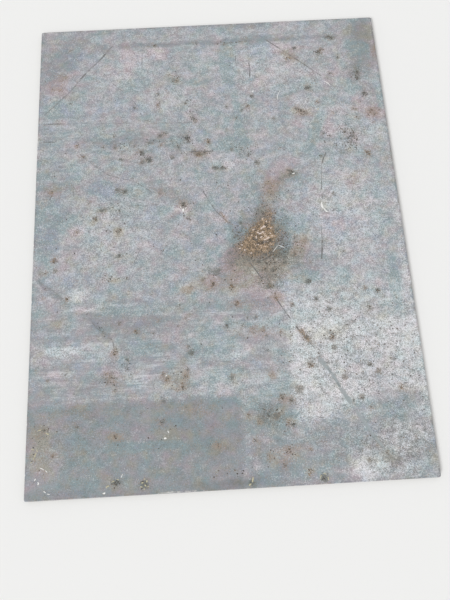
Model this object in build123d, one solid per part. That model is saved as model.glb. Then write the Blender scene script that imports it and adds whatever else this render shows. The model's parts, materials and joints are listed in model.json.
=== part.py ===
from build123d import *
import os

# A flat piece of hot-rolled steel plate, guillotine-sheared to size on all four sides.
# The origin is at the middle of the underside, +X across the width, +Y along the length, +Z up.
# Every size is in millimetres.

# Overall size of the cut piece
plate_width = 750.0
plate_length = 1000.0
plate_thickness = 10.0

# The four corners, where two cuts meet, are blunt from handling
corner_radius = 4.0

# Sheared edge, from the top face down: the rounded rollover, the smooth upright band that the
# blade burnished, and the torn band below it, which leans in under the plate and is slightly hollow
rollover_width = 2.0
rollover_depth = 0.9
burnish_height = 2.8
fracture_lean = 0.65
fracture_hollow = 0.12

# The burr along the underside is broken off to a small flat
underside_break = 0.35

# How far a cutter stands out past the plate, so that it cuts clean through the outside
cutter_margin = 3.0


def outline():
    """The plan of the cut piece at its widest level, a rectangle with blunt corners."""
    return RectangleRounded(plate_width, plate_length, corner_radius)


def blank():
    """The piece with plain upright edges, before the shear's marks are cut into them."""
    return extrude(outline(), plate_thickness)


def edge_profile():
    """The waste beside one edge, in the plane across it: X is the inset from the edge, Y the height."""
    rollover_foot = plate_thickness - rollover_depth
    burnish_foot = rollover_foot - burnish_height
    underside_inset = fracture_lean + underside_break

    rollover = EllipticalCenterArc(
        center=(rollover_width, rollover_foot),
        x_radius=rollover_width,
        y_radius=rollover_depth,
        start_angle=90,
        arc_size=90,
    )
    burnish = Line((0, rollover_foot), (0, burnish_foot))
    fracture = SagittaArc((0, burnish_foot), (fracture_lean, underside_break), fracture_hollow)
    burr_flat = Line((fracture_lean, underside_break), (underside_inset, 0))
    outside = Polyline(
        (underside_inset, 0),
        (underside_inset, -cutter_margin),
        (-cutter_margin, -cutter_margin),
        (-cutter_margin, plate_thickness + cutter_margin),
        (rollover_width, plate_thickness + cutter_margin),
        (rollover_width, plate_thickness),
    )
    return make_face(rollover + burnish + fracture + burr_flat + outside)


def shear_waste():
    """The edge profile carried once round the outline."""
    path = outline().wire()
    start = path @ 0
    along = path % 0
    inward = Vector(0, 0, 1).cross(along)
    across = Plane(origin=start, x_dir=inward, z_dir=inward.cross(Vector(0, 0, 1)))
    return sweep(across * edge_profile(), path)


def plate():
    """The finished piece of plate, one solid."""
    return blank() - shear_waste()


os.makedirs("parts", exist_ok=True)
export_step(plate(), "parts/plate.step")
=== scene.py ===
import json
import math
from collections import namedtuple

import bpy
import numpy as np
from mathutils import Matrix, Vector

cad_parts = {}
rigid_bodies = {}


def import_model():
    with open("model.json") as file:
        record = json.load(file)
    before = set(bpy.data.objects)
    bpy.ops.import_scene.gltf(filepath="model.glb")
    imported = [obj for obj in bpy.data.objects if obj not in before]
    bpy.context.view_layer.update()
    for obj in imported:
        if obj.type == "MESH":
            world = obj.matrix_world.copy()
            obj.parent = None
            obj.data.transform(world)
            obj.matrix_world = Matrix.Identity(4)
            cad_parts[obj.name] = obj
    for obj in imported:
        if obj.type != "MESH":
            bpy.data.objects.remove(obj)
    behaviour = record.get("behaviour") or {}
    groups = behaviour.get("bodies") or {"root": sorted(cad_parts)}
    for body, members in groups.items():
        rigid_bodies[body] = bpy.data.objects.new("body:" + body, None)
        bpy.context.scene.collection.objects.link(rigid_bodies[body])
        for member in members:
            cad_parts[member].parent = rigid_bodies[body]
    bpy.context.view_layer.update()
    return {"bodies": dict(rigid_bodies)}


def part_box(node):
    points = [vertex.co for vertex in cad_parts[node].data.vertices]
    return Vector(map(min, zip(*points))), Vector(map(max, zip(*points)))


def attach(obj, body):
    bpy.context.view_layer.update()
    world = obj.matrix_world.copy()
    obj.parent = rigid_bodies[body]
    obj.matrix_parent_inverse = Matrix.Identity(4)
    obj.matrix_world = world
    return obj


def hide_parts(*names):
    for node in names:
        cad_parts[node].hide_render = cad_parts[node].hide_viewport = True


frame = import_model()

# A piece of hot-rolled steel plate lying flat: mill scale, rust, scratches and four sheared edges.
# Places and sizes are in millimetres from the middle of the plate, +X to the right and +Y to the
# far edge. Meshes are written in metres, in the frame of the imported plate.

bl_info = {
    "name": "Rusted Steel Plate",
    "version": (1, 0, 0),
    "blender": (4, 5, 0),
    "location": "View3D > Sidebar > Steel Plate",
    "description": "A sheared piece of hot-rolled plate with mill scale, rust and scratches",
    "category": "Mesh",
}

MM = 0.001
PLATE_LOW, PLATE_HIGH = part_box("plate")
WIDTH = (PLATE_HIGH.x - PLATE_LOW.x) / MM
LENGTH = (PLATE_HIGH.y - PLATE_LOW.y) / MM
THICKNESS = (PLATE_HIGH.z - PLATE_LOW.z) / MM
BODY = next(iter(frame["bodies"]))

# Fineness of the meshes: the steps of the face's grid, the step at its rim and how many steps it
# takes to widen, how many of them go to one step of the underside, the rows of the torn band, and the
# steps round a crumb
STEPS_ACROSS = 248
STEPS_ALONG = 320
FINE_STEP = 0.5
STEPS_TO_SETTLE = 4
UNDERSIDE_SHARE = 8
TORN_ROWS = 5
CRUMB_STEPS = 9
# Cells along a side of the noise, after which it repeats
LATTICE = 256

# A soft patch on the face: its middle, its reach along and across, its turn in degrees, its amount
Patch = namedtuple("Patch", "x y long wide turn amount")
# A zone with straight sides that fade over soft
Zone = namedtuple("Zone", "left right near far soft amount")

# Lighter and darker areas, as a share of the face's own lightness. Where it is lighter, more of the
# white bloom is left, and where it is darker the scale is bare and darker itself.
LIGHT_ZONES = (
    Zone(-400, 20, -520, -334, 9, -0.27), Zone(20, 120, -520, -344, 12, -0.10),
    Zone(-400, 400, -520, -484, 6, -0.07), Zone(122, 400, -386, -200, 12, 0.29),
    Zone(110, 400, -200, -118, 34, 0.16), Zone(-400, -70, -332, -180, 16, -0.07),
    Zone(-400, -205, -256, -217, 6, 0.12), Zone(-400, 40, -294, -273, 7, 0.04),
    Zone(-400, 108, -330, -299, 7, 0.05), Zone(-205, 290, 449, 459, 3, -0.17),
)
LIGHT_PATCHES = (
    Patch(345, 425, 80, 34, 90, -0.24), Patch(325, 358, 14, 14, 0, -0.14),
    Patch(-335, 420, 95, 44, 48, -0.15), Patch(-110, 425, 20, 15, 0, 0.13),
    Patch(-185, 395, 60, 35, 20, 0.10), Patch(90, 400, 150, 40, 0, 0.08),
    Patch(160, 350, 95, 40, 0, 0.08), Patch(200, 395, 30, 12, -45, -0.10),
    Patch(255, 245, 60, 46, 0, 0.08), Patch(-200, 214, 140, 11, 0, -0.13),
    Patch(-140, 165, 11, 9, 0, -0.22), Patch(-32, 177, 15, 9, 0, -0.25),
    Patch(25, 150, 34, 22, 0, 0.13), Patch(-95, 82, 75, 14, -30, -0.12),
    Patch(-330, 107, 55, 9, 0, -0.10), Patch(-215, 5, 85, 85, 0, 0.09),
    Patch(-345, 0, 60, 26, 90, -0.07), Patch(-285, -121, 24, 13, 0, 0.30),
    Patch(-190, -178, 110, 20, -5, -0.13), Patch(-312, -234, 38, 9, 0, 0.22),
    Patch(-165, -297, 24, 14, 0, 0.16), Patch(-318, -285, 34, 18, 0, 0.10),
    Patch(75, -375, 45, 40, 0, -0.06), Patch(-40, -405, 60, 30, 0, -0.05),
    Patch(-340, -425, 35, 40, 0, 0.10), Patch(30, -420, 45, 25, 0, 0.08),
    Patch(180, -310, 42, 55, 0, 0.13), Patch(242, -262, 16, 40, 0, -0.12),
    Patch(288, -322, 14, 24, 0, -0.14), Patch(160, -352, 18, 20, 0, -0.10),
    Patch(305, -300, 60, 40, 0, -0.05), Patch(205, -185, 60, 40, 0, 0.12),
    Patch(205, -240, 60, 60, 0, 0.06), Patch(300, -238, 90, 20, 0, 0.10),
    Patch(300, -366, 66, 27, 8, -0.30), Patch(170, -440, 45, 40, 0, -0.12),
    Patch(250, -475, 32, 24, 0, 0.34), Patch(320, -425, 45, 24, 15, 0.22),
    Patch(300, -445, 80, 50, 0, 0.05), Patch(365, -470, 20, 25, 0, -0.06),
    Patch(270, 10, 90, 120, 0, 0.10), Patch(245, 0, 22, 16, 0, 0.10),
    Patch(345, 205, 34, 30, 0, 0.10), Patch(30, -255, 18, 16, 0, 0.14),
    Patch(0, -112, 45, 24, 0, -0.10), Patch(172, -75, 34, 26, 0, -0.14),
    Patch(70, -165, 55, 22, 0, -0.10), Patch(155, 110, 16, 12, 0, -0.16),
    Patch(115, 95, 40, 24, 70, -0.12), Patch(88, -20, 62, 58, 0, -0.22),
    Patch(-250, 103, 22, 16, 0, -0.10), Patch(40, 400, 50, 18, 90, -0.08),
    Patch(200, 282, 30, 24, 0, 0.14), Patch(-95, 310, 50, 34, 0, 0.08),
    Patch(250, 60, 90, 90, 0, 0.05), Patch(-75, -122, 26, 16, 0, 0.08),
    Patch(-275, -300, 40, 14, 0, -0.14), Patch(36, -4, 16, 22, 0, -0.18),
    Patch(22, -62, 24, 20, 0, -0.24), Patch(42, -84, 22, 16, -40, -0.12),
    Patch(80, -88, 40, 16, 0, -0.08), Patch(75, 90, 16, 34, 0, -0.08),
    Patch(-345, 400, 26, 50, 0, -0.05), Patch(335, -485, 50, 18, 0, 0.14),
    Patch(335, -350, 34, 18, 0, -0.12), Patch(-352, -318, 26, 18, 0, -0.12),
    Patch(102, 34, 22, 34, 0, -0.10), Patch(20, -34, 20, 24, 0, -0.10),
    Patch(-340, -108, 40, 6, -42, -0.20), Patch(-238, -194, 34, 6, -45, -0.16),
    Patch(178, -108, 28, 12, 0, -0.12), Patch(340, -135, 50, 10, 90, -0.08),
    Patch(340, 470, 40, 22, 0, -0.10), Patch(46, 195, 30, 16, 0, -0.08),
    Patch(-345, 70, 42, 110, 0, -0.08), Patch(30, -490, 40, 10, 0, -0.26),
    Patch(250, 0, 34, 18, 0, -0.15), Patch(95, -468, 26, 14, 0, -0.14),
    Patch(-366, 478, 12, 26, 0, -0.14), Patch(-234, 490, 26, 9, 0, -0.13),
    Patch(251, -353, 16, 12, 0, 0.12), Patch(157, -346, 20, 12, 0, -0.13),
    Patch(-306, -178, 24, 9, 0, 0.12), Patch(-15, -273, 30, 10, 0, -0.12),
    Patch(-184, -141, 40, 7, 0, -0.13), Patch(367, 25, 9, 30, 0, 0.14),
    Patch(-35, -490, 28, 9, 0, -0.18), Patch(56, -480, 16, 10, 0, -0.12),
    Patch(219, -380, 30, 17, 0, -0.20), Patch(100, 491, 40, 9, 0, -0.20),
    Patch(-234, 447, 24, 13, 20, -0.18), Patch(9, -85, 20, 12, 30, -0.16),
    Patch(50, -430, 36, 13, 10, -0.17), Patch(367, -91, 9, 40, 0, 0.18),
    Patch(-285, 11, 15, 13, 0, 0.12), Patch(-70, 50, 16, 14, 0, 0.14),
    Patch(-250, -149, 55, 4, 0, 0.16), Patch(216, 210, 55, 11, 66, -0.08),
    Patch(358, 300, 34, 9, 90, -0.08), Patch(-278, -296, 18, 8, 0, 0.13),
    Patch(213, 197, 14, 14, 66, 0.12), Patch(-291, 272, 20, 9, 0, -0.11),
    Patch(-356, 14, 12, 16, 0, 0.10), Patch(182, -361, 16, 10, 0, -0.10),
    Patch(265, 182, 14, 10, 0, 0.11), Patch(115, -100, 12, 10, 0, 0.10),
    Patch(-368, -134, 7, 14, 0, -0.12),
)

# Lilac areas above zero and teal areas below it
TINT_ZONES = (Zone(-400, 400, -520, -334, 20, -0.10),)
TINT_PATCHES = (
    Patch(42, 390, 62, 17, 90, -1.5), Patch(56, 245, 80, 11, 90, -1.2),
    Patch(45, 195, 34, 16, 0, -1.4), Patch(30, 485, 14, 12, 0, -0.9),
    Patch(216, 210, 60, 13, 66, -1.3), Patch(248, 275, 60, 14, 58, -0.8),
    Patch(338, 65, 95, 13, 90, -0.6), Patch(341, -135, 55, 12, 90, -1.0),
    Patch(-325, 300, 42, 22, 0, -1.0), Patch(-236, 102, 28, 17, 0, -1.4),
    Patch(-112, 55, 34, 24, 60, -0.8), Patch(-22, 55, 22, 17, 0, -0.9),
    Patch(150, 5, 30, 20, 0, -1.1), Patch(174, -110, 28, 13, 0, -1.8),
    Patch(247, -112, 22, 14, 90, -0.6), Patch(66, 122, 24, 20, 90, -0.8),
    Patch(120, 430, 18, 14, 0, -0.7), Patch(325, 425, 16, 12, 0, -0.8),
    Patch(297, 235, 16, 14, 90, -0.7), Patch(-30, -235, 64, 34, 0, -0.6),
    Patch(75, -335, 60, 14, 15, -0.9), Patch(-130, -418, 110, 10, 0, -0.5),
    Patch(110, -465, 60, 20, 0, -0.3), Patch(-180, 420, 44, 16, 90, 1.3),
    Patch(-113, 427, 24, 17, 0, 2.0), Patch(-340, 350, 36, 24, 0, 1.2),
    Patch(170, 428, 40, 14, -10, 0.8), Patch(275, 372, 26, 14, 90, 0.8),
    Patch(115, 322, 30, 16, 90, 0.6), Patch(350, 253, 30, 18, 0, 1.3),
    Patch(130, 115, 50, 18, 55, 1.3), Patch(50, -90, 70, 34, -55, 1.2),
    Patch(27, -60, 16, 16, 0, 1.7), Patch(50, -68, 16, 16, 0, 0.9),
    Patch(30, -14, 22, 30, -20, -1.7), Patch(128, -22, 22, 36, 0, -1.3),
    Patch(-130, 250, 62, 20, -48, 0.2), Patch(250, 240, 16, 44, 0, 0.9),
    Patch(180, 240, 24, 16, 0, 0.8), Patch(-78, -228, 20, 34, 0, 0.6),
    Patch(-305, -92, 46, 34, 0, 0.3), Patch(325, 112, 16, 22, 0, 0.4),
    Patch(-105, 70, 18, 18, 0, 0.9), Patch(158, 42, 22, 20, 0, 1.0),
    Patch(-350, 455, 26, 30, 0, 0.3), Patch(50, 150, 12, 30, 0, 0.9),
    Patch(300, 265, 30, 24, 0, 0.5), Patch(-180, 352, 24, 18, 0, -1.3),
    Patch(-155, 92, 30, 18, -20, -1.3), Patch(212, 332, 18, 16, 0, -1.2),
    Patch(310, 322, 22, 18, 0, -1.2), Patch(-60, 352, 44, 14, 0, -0.8),
    Patch(-225, 230, 60, 24, 0, -0.5), Patch(-285, 150, 20, 30, 0, -0.9),
    Patch(-145, -232, 34, 16, 0, -1.2), Patch(0, -292, 34, 16, 0, -1.2),
    Patch(80, -380, 44, 26, 0, -0.9), Patch(-240, -425, 110, 26, 0, -0.6),
    Patch(60, 76, 16, 12, 0, -1.0), Patch(30, -200, 24, 12, 0, -0.9),
    Patch(0, 140, 14, 20, 0, -0.8), Patch(175, 180, 18, 22, 0, -0.9),
    Patch(165, -47, 24, 16, 40, 1.2), Patch(-25, -110, 22, 16, 0, 0.8),
    Patch(-228, -282, 26, 16, -20, 0.9), Patch(5, -330, 30, 10, 0, 0.6),
    Patch(-170, -195, 60, 14, 0, 0.2), Patch(-150, -160, 160, 10, 0, -0.6),
    Patch(55, -232, 40, 16, 0, 0.5), Patch(-345, -430, 40, 26, 90, 0.5),
    Patch(232, 2, 30, 20, 0, 1.7), Patch(100, -445, 36, 24, 0, 0.3),
    Patch(104, -146, 14, 14, 0, 1.2), Patch(335, 420, 34, 18, 0, -0.8),
    Patch(-345, 20, 34, 60, 0, -0.7), Patch(367, 290, 9, 40, 0, -1.2),
    Patch(367, 410, 9, 24, 0, 1.0), Patch(-264, -476, 30, 14, 0, -1.0),
    Patch(-4, 272, 22, 18, 0, -1.0), Patch(14, -98, 18, 13, 0, -0.9),
    Patch(-87, 202, 20, 16, 0, -0.9), Patch(5, -47, 16, 13, 0, -1.1),
    Patch(122, -4, 13, 24, 0, -1.0), Patch(-285, 11, 14, 12, 0, 0.9),
    Patch(-70, 50, 16, 14, 0, 0.9), Patch(-325, -178, 16, 10, 0, 0.3),
    Patch(-10, -26, 16, 9, 0, 0.8), Patch(122, -20, 12, 14, 0, -0.7),
    Patch(55, -8, 14, 12, 0, -0.7), Patch(312, 147, 16, 14, 0, -0.7),
    Patch(-193, 196, 18, 12, 0, -0.7), Patch(341, 117, 14, 14, 0, 0.7),
    Patch(76, -431, 16, 10, 0, -0.6), Patch(-242, -434, 18, 12, 0, 0.6),
    Patch(-232, -228, 18, 10, 0, -0.7), Patch(-348, -340, 16, 9, 0, -0.7),
    Patch(288, 420, 13, 12, 0, 0.7), Patch(208, -468, 14, 10, 0, -0.7),
    Patch(38, -82, 20, 9, 35, 0.9), Patch(20, -54, 10, 9, 0, 0.9),
)

# Blue areas above zero and dusty yellow areas below it
CAST_PATCHES = (
    Patch(-285, 420, 34, 26, 0, 0.8), Patch(-240, 292, 90, 18, 0, 0.7),
    Patch(115, 420, 30, 20, 0, 0.6), Patch(30, 340, 26, 40, 0, 0.6),
    Patch(-30, 220, 40, 18, 0, 0.6), Patch(-300, -88, 50, 14, 0, 0.8),
    Patch(165, 18, 34, 24, 0, 0.9), Patch(-130, 45, 30, 24, 0, 0.7),
    Patch(10, 5, 30, 24, 0, 0.6), Patch(-236, 102, 32, 18, 0, 1.2),
    Patch(240, 0, 50, 34, 0, 0.7), Patch(134, -32, 16, 26, 0, 1.0),
    Patch(40, 8, 20, 16, 0, 0.6), Patch(-60, -30, 60, 60, 0, 0.3),
    Patch(115, 92, 26, 20, 0, -0.8), Patch(150, 115, 22, 16, 0, -0.7),
    Patch(162, -38, 30, 24, 0, -0.9), Patch(190, 400, 34, 14, -40, -0.9),
    Patch(190, 265, 26, 18, 0, -0.9), Patch(-75, 362, 20, 18, 0, -1.0),
    Patch(-204, 9, 11, 10, 0, -2.6), Patch(-30, 183, 30, 14, 0, -0.7),
    Patch(-215, -92, 30, 10, 0, -0.8), Patch(10, -122, 50, 20, 0, -0.8),
    Patch(-60, -120, 22, 14, 0, -0.9), Patch(-95, -300, 36, 16, 0, -0.8),
    Patch(-215, -290, 26, 18, 0, -0.7), Patch(-120, -400, 26, 16, 0, -0.7),
    Patch(-350, -400, 26, 46, 0, -0.9), Patch(68, -372, 30, 22, 0, -0.8),
    Patch(100, -440, 40, 26, 0, -0.4), Patch(165, -228, 70, 16, 10, -0.7),
    Patch(295, 100, 14, 22, 0, -0.7), Patch(220, 35, 16, 20, 0, -0.6),
    Patch(88, -78, 66, 32, 0, -1.5), Patch(250, -470, 70, 34, 0, -0.3),
    Patch(-150, -420, 240, 90, 0, -0.20), Patch(-285, -343, 28, 12, 0, -0.6),
    Patch(-60, -355, 36, 18, 0, -0.6), Patch(-30, -425, 20, 14, 0, -0.6),
    Patch(-214, -398, 24, 12, 0, -0.6), Patch(340, 462, 44, 26, 0, -0.9),
    Patch(-325, 108, 40, 14, 0, -0.3), Patch(-345, 20, 34, 60, 0, 0.5),
    Patch(-320, -438, 26, 20, 0, -1.1), Patch(-366, -233, 14, 22, 0, -0.9),
    Patch(362, -468, 18, 18, 0, -0.9), Patch(-366, -390, 14, 16, 0, 0.9),
    Patch(-366, 312, 14, 22, 0, 0.8), Patch(-325, -178, 18, 12, 0, -0.9),
    Patch(-205, -489, 26, 12, 0, -0.8), Patch(-250, 36, 12, 12, 0, -0.9),
    Patch(-228, 57, 22, 8, 0, -0.8), Patch(-203, -46, 12, 10, 0, -0.9),
)

# Where the bloom and the scale are dragged into streaks along X
DRAG_ZONES = (
    Zone(-400, -50, -336, -212, 14, 0.42), Zone(-50, 125, -336, -212, 14, 0.27),
    Zone(-400, 125, -212, -140, 24, 0.36), Zone(-400, -60, 195, 280, 30, 0.30),
    Zone(-400, 120, -520, -336, 20, 0.20), Zone(128, 400, -260, -120, 30, 0.15),
    Zone(-160, 210, 440, 470, 14, 0.40),
)

# Brown stain soaked into the scale
STAIN_PATCHES = (
    Patch(90, -22, 45, 44, 40, 1.0), Patch(99, 33, 26, 19, 65, 0.95),
    Patch(50, -42, 26, 17, 10, 0.7), Patch(48, -66, 40, 22, 35, 0.8),
    Patch(98, -92, 40, 30, 0, 0.76), Patch(45, -115, 60, 24, -30, 0.4),
    Patch(112, 88, 32, 21, 65, 0.85), Patch(150, 115, 20, 11, 20, 0.25),
    Patch(160, -45, 26, 15, 40, 0.75), Patch(-15, -112, 45, 16, 10, 0.45),
    Patch(190, 402, 40, 8, -42, 0.55), Patch(192, 264, 26, 16, 0, 0.50),
    Patch(-75, 362, 20, 18, 0, 0.45), Patch(-220, -94, 28, 7, 0, 0.50),
    Patch(-95, -303, 36, 13, -15, 0.32), Patch(-215, -290, 24, 16, 0, 0.40),
    Patch(-345, -405, 26, 46, 0, 0.40), Patch(76, -372, 30, 20, 0, 0.30),
    Patch(102, -445, 34, 24, 0, 0.45), Patch(160, -286, 8, 8, 0, 0.55),
    Patch(-214, -397, 24, 10, -10, 0.62), Patch(-30, 178, 30, 7, 0, 0.50),
    Patch(288, 100, 11, 20, 0, 0.60), Patch(348, 250, 26, 15, 0, 0.50),
    Patch(-98, 82, 44, 9, -30, 0.35), Patch(-345, 262, 34, 5, 0, 0.40),
    Patch(-335, 368, 26, 28, 0, 0.35), Patch(-65, -122, 17, 10, 20, 0.55),
    Patch(70, -165, 45, 12, -10, 0.35), Patch(60, -218, 45, 14, 0, 0.40),
    Patch(24, -56, 16, 14, 0, 0.35), Patch(12, 26, 27, 7, -52, 0.55),
    Patch(-204, 9, 8, 7, 0, 0.45), Patch(-68, 56, 12, 10, 0, 0.40),
    Patch(-195, 97, 18, 9, 0, 0.30), Patch(-320, 108, 40, 12, 0, 0.20),
    Patch(-325, -180, 14, 8, 0, 0.45), Patch(-213, -240, 18, 5, 90, 0.50),
    Patch(-78, -290, 9, 16, 0, 0.45), Patch(-285, -343, 26, 10, 0, 0.45),
    Patch(-60, -355, 34, 16, 0, 0.42), Patch(-30, -425, 18, 12, 0, 0.45),
    Patch(108, -346, 17, 11, -20, 0.42), Patch(106, -147, 12, 10, 0, 0.45),
    Patch(85, -301, 12, 9, 0, 0.40), Patch(-75, -126, 20, 10, 10, 0.35),
    Patch(371, 412, 9, 26, 0, 0.60),
)

# Rust that grows through the scale, densest in the crust
RUST_PATCHES = (
    Patch(86, -18, 40, 30, 35, 0.62), Patch(52, -42, 22, 15, 10, 0.42),
    Patch(104, 26, 22, 12, 65, 0.40), Patch(88, -20, 54, 50, 0, 0.14),
    Patch(92, -57, 36, 15, 0, 0.30), Patch(108, 84, 25, 15, 65, 0.22),
    Patch(160, -44, 22, 14, 40, 0.12), Patch(105, -438, 22, 14, 0, 0.14),
    Patch(346, 252, 18, 10, 0, 0.16), Patch(-33, 177, 10, 8, 0, 0.20),
    Patch(-325, -425, 14, 8, 0, 0.14), Patch(154, -229, 20, 7, -52, 0.55),
    Patch(190, 390, 34, 5, -42, 0.12), Patch(12, 26, 22, 3, -52, 0.42),
    Patch(-285, 11, 6, 5, 0, 0.30), Patch(-334, -47, 7, 6, 0, 0.28),
    Patch(66, -58, 18, 8, 0, 0.26), Patch(196, 262, 14, 8, -20, 0.18),
    Patch(325, 156, 7, 7, 0, 0.34), Patch(206, -234, 7, 6, 0, 0.30),
    Patch(85, -91, 9, 6, 0, 0.24),
)

# Dark olive soot round the crust and in the far corner, and painted shadow under the straw bits along the
# near edge
SOOT_AND_SHADOW_PATCHES = (
    Patch(86, -16, 62, 50, 50, 0.50), Patch(112, -72, 46, 30, 0, 0.38),
    Patch(40, -62, 42, 26, 40, 0.28), Patch(118, -60, 24, 12, -10, 0.14),
    Patch(-22, -118, 10, 8, 0, 0.20), Patch(92, -118, 24, 20, 0, 0.45),
    Patch(-14, -89, 18, 8, 25, 0.68), Patch(18, -53, 7, 6, 0, 0.40),
    Patch(126, -44, 14, 24, 20, 0.25), Patch(84, 38, 22, 20, 0, 0.18),
    Patch(150, 112, 22, 8, 30, 0.42), Patch(322, 354, 28, 24, 0, 0.34),
    Patch(68, -368, 22, 18, 0, 0.28), Patch(158, -285, 5, 5, 0, 0.40),
    Patch(214, 323, 6, 6, 0, 0.35), Patch(172, -120, 6, 5, 0, 0.55),
    Patch(6, 139, 22, 6, 0, 0.25), Patch(-30, 177, 30, 6, 0, 0.35),
    Patch(-75, 360, 20, 18, 0, 0.16), Patch(-42, 262, 9, 14, 0, 0.22),
    Patch(-140, 166, 8, 8, 0, 0.20), Patch(-57, 214, 8, 8, 0, 0.18),
    Patch(74, -372, 28, 20, 0, 0.20), Patch(62, 168, 12, 14, 0, 0.30),
    Patch(22, -66, 18, 12, 0, 0.14), Patch(-250, 36, 8, 9, 0, 0.28),
    Patch(-232, 57, 17, 5, 0, 0.38), Patch(-203, -45, 9, 8, 0, 0.38),
    Patch(-195, 98, 17, 8, 0, 0.30), Patch(-204, 8, 5, 6, 0, 0.25),
    Patch(-90, 168, 9, 8, 0, 0.22), Patch(130, 100, 8, 20, -20, 0.25),
    # The patches at (-211, -478), (-160, -482), (164, -489) and (33, -491) are painted shadow under the
    # clusters of straw bits
    Patch(-62, -246, 7, 10, 0, 0.35), Patch(-211, -478, 12, 5, 0, 0.45),
    Patch(-160, -482, 9, 9, 0, 0.50), Patch(164, -489, 10, 8, 0, 0.60),
    Patch(33, -491, 5, 6, 0, 0.45), Patch(-57, -352, 30, 14, 0, 0.16),
    Patch(-285, -343, 26, 9, 0, 0.22), Patch(-250, -350, 9, 12, 0, 0.20),
    Patch(-185, -345, 12, 12, 0, 0.20), Patch(-30, -428, 18, 12, 0, 0.20),
)

# Dark freckles gather here
FRECKLE_PATCHES = (
    Patch(292, 198, 24, 24, 0, 0.36), Patch(236, 200, 16, 22, 0, 0.22),
    Patch(275, 165, 20, 12, 0, 0.40), Patch(-150, 200, 110, 34, 0, 0.16),
    Patch(-60, 215, 50, 30, 0, 0.16), Patch(230, -260, 110, 110, 0, 0.20),
    Patch(-222, -292, 24, 18, 0, 0.35), Patch(75, -370, 26, 22, 0, 0.45),
    Patch(95, -70, 70, 60, 0, 0.35), Patch(335, -380, 60, 60, 0, 0.14),
    Patch(305, -440, 80, 50, 0, 0.40), Patch(-300, -395, 70, 50, 0, 0.16),
    Patch(200, -420, 60, 40, 0, 0.25), Patch(-210, 60, 90, 60, 0, 0.14),
    Patch(30, 448, 22, 10, 0, 0.30),
)

# Where the arris of an edge is worn bright, with a painted glint along it
BRIGHT_WEAR_AND_GLINT_PATCHES = (
    Patch(-218, 500, 52, 8, 0, 1.0), Patch(-340, 500, 30, 8, 0, 0.35),
    Patch(-96, 500, 16, 8, 0, 0.60), Patch(145, 500, 48, 8, 0, 0.50),
    Patch(323, 500, 34, 8, 0, 0.75), Patch(-375, 90, 8, 34, 0, 0.75),
    Patch(-375, 30, 8, 12, 0, 0.50), Patch(-375, -68, 8, 22, 0, 1.0),
    Patch(-375, 218, 8, 10, 0, 1.0), Patch(-375, -232, 8, 16, 0, 0.50),
    Patch(-375, 420, 8, 60, 0, 0.30), Patch(-97, -500, 52, 8, 0, 0.95),
    Patch(60, -500, 100, 8, 0, 0.40), Patch(-330, -500, 34, 8, 0, 0.30),
    Patch(250, -500, 60, 8, 0, 0.30), Patch(375, -40, 8, 60, 0, 0.35),
    Patch(375, -250, 8, 30, 0, 0.45), Patch(375, 330, 8, 60, 0, 0.25),
)

# Shallow dents in the face
DENTS = (
    Patch(-240, 120, 26, 18, 30, -0.10), Patch(180, -40, 22, 30, 0, -0.12),
    Patch(-60, -360, 40, 22, 10, -0.10), Patch(300, 320, 30, 20, -20, -0.10),
    Patch(-300, -330, 24, 34, 0, -0.08), Patch(20, 300, 34, 26, 0, -0.08),
    Patch(86, -20, 46, 42, 40, -0.16),
)
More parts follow.
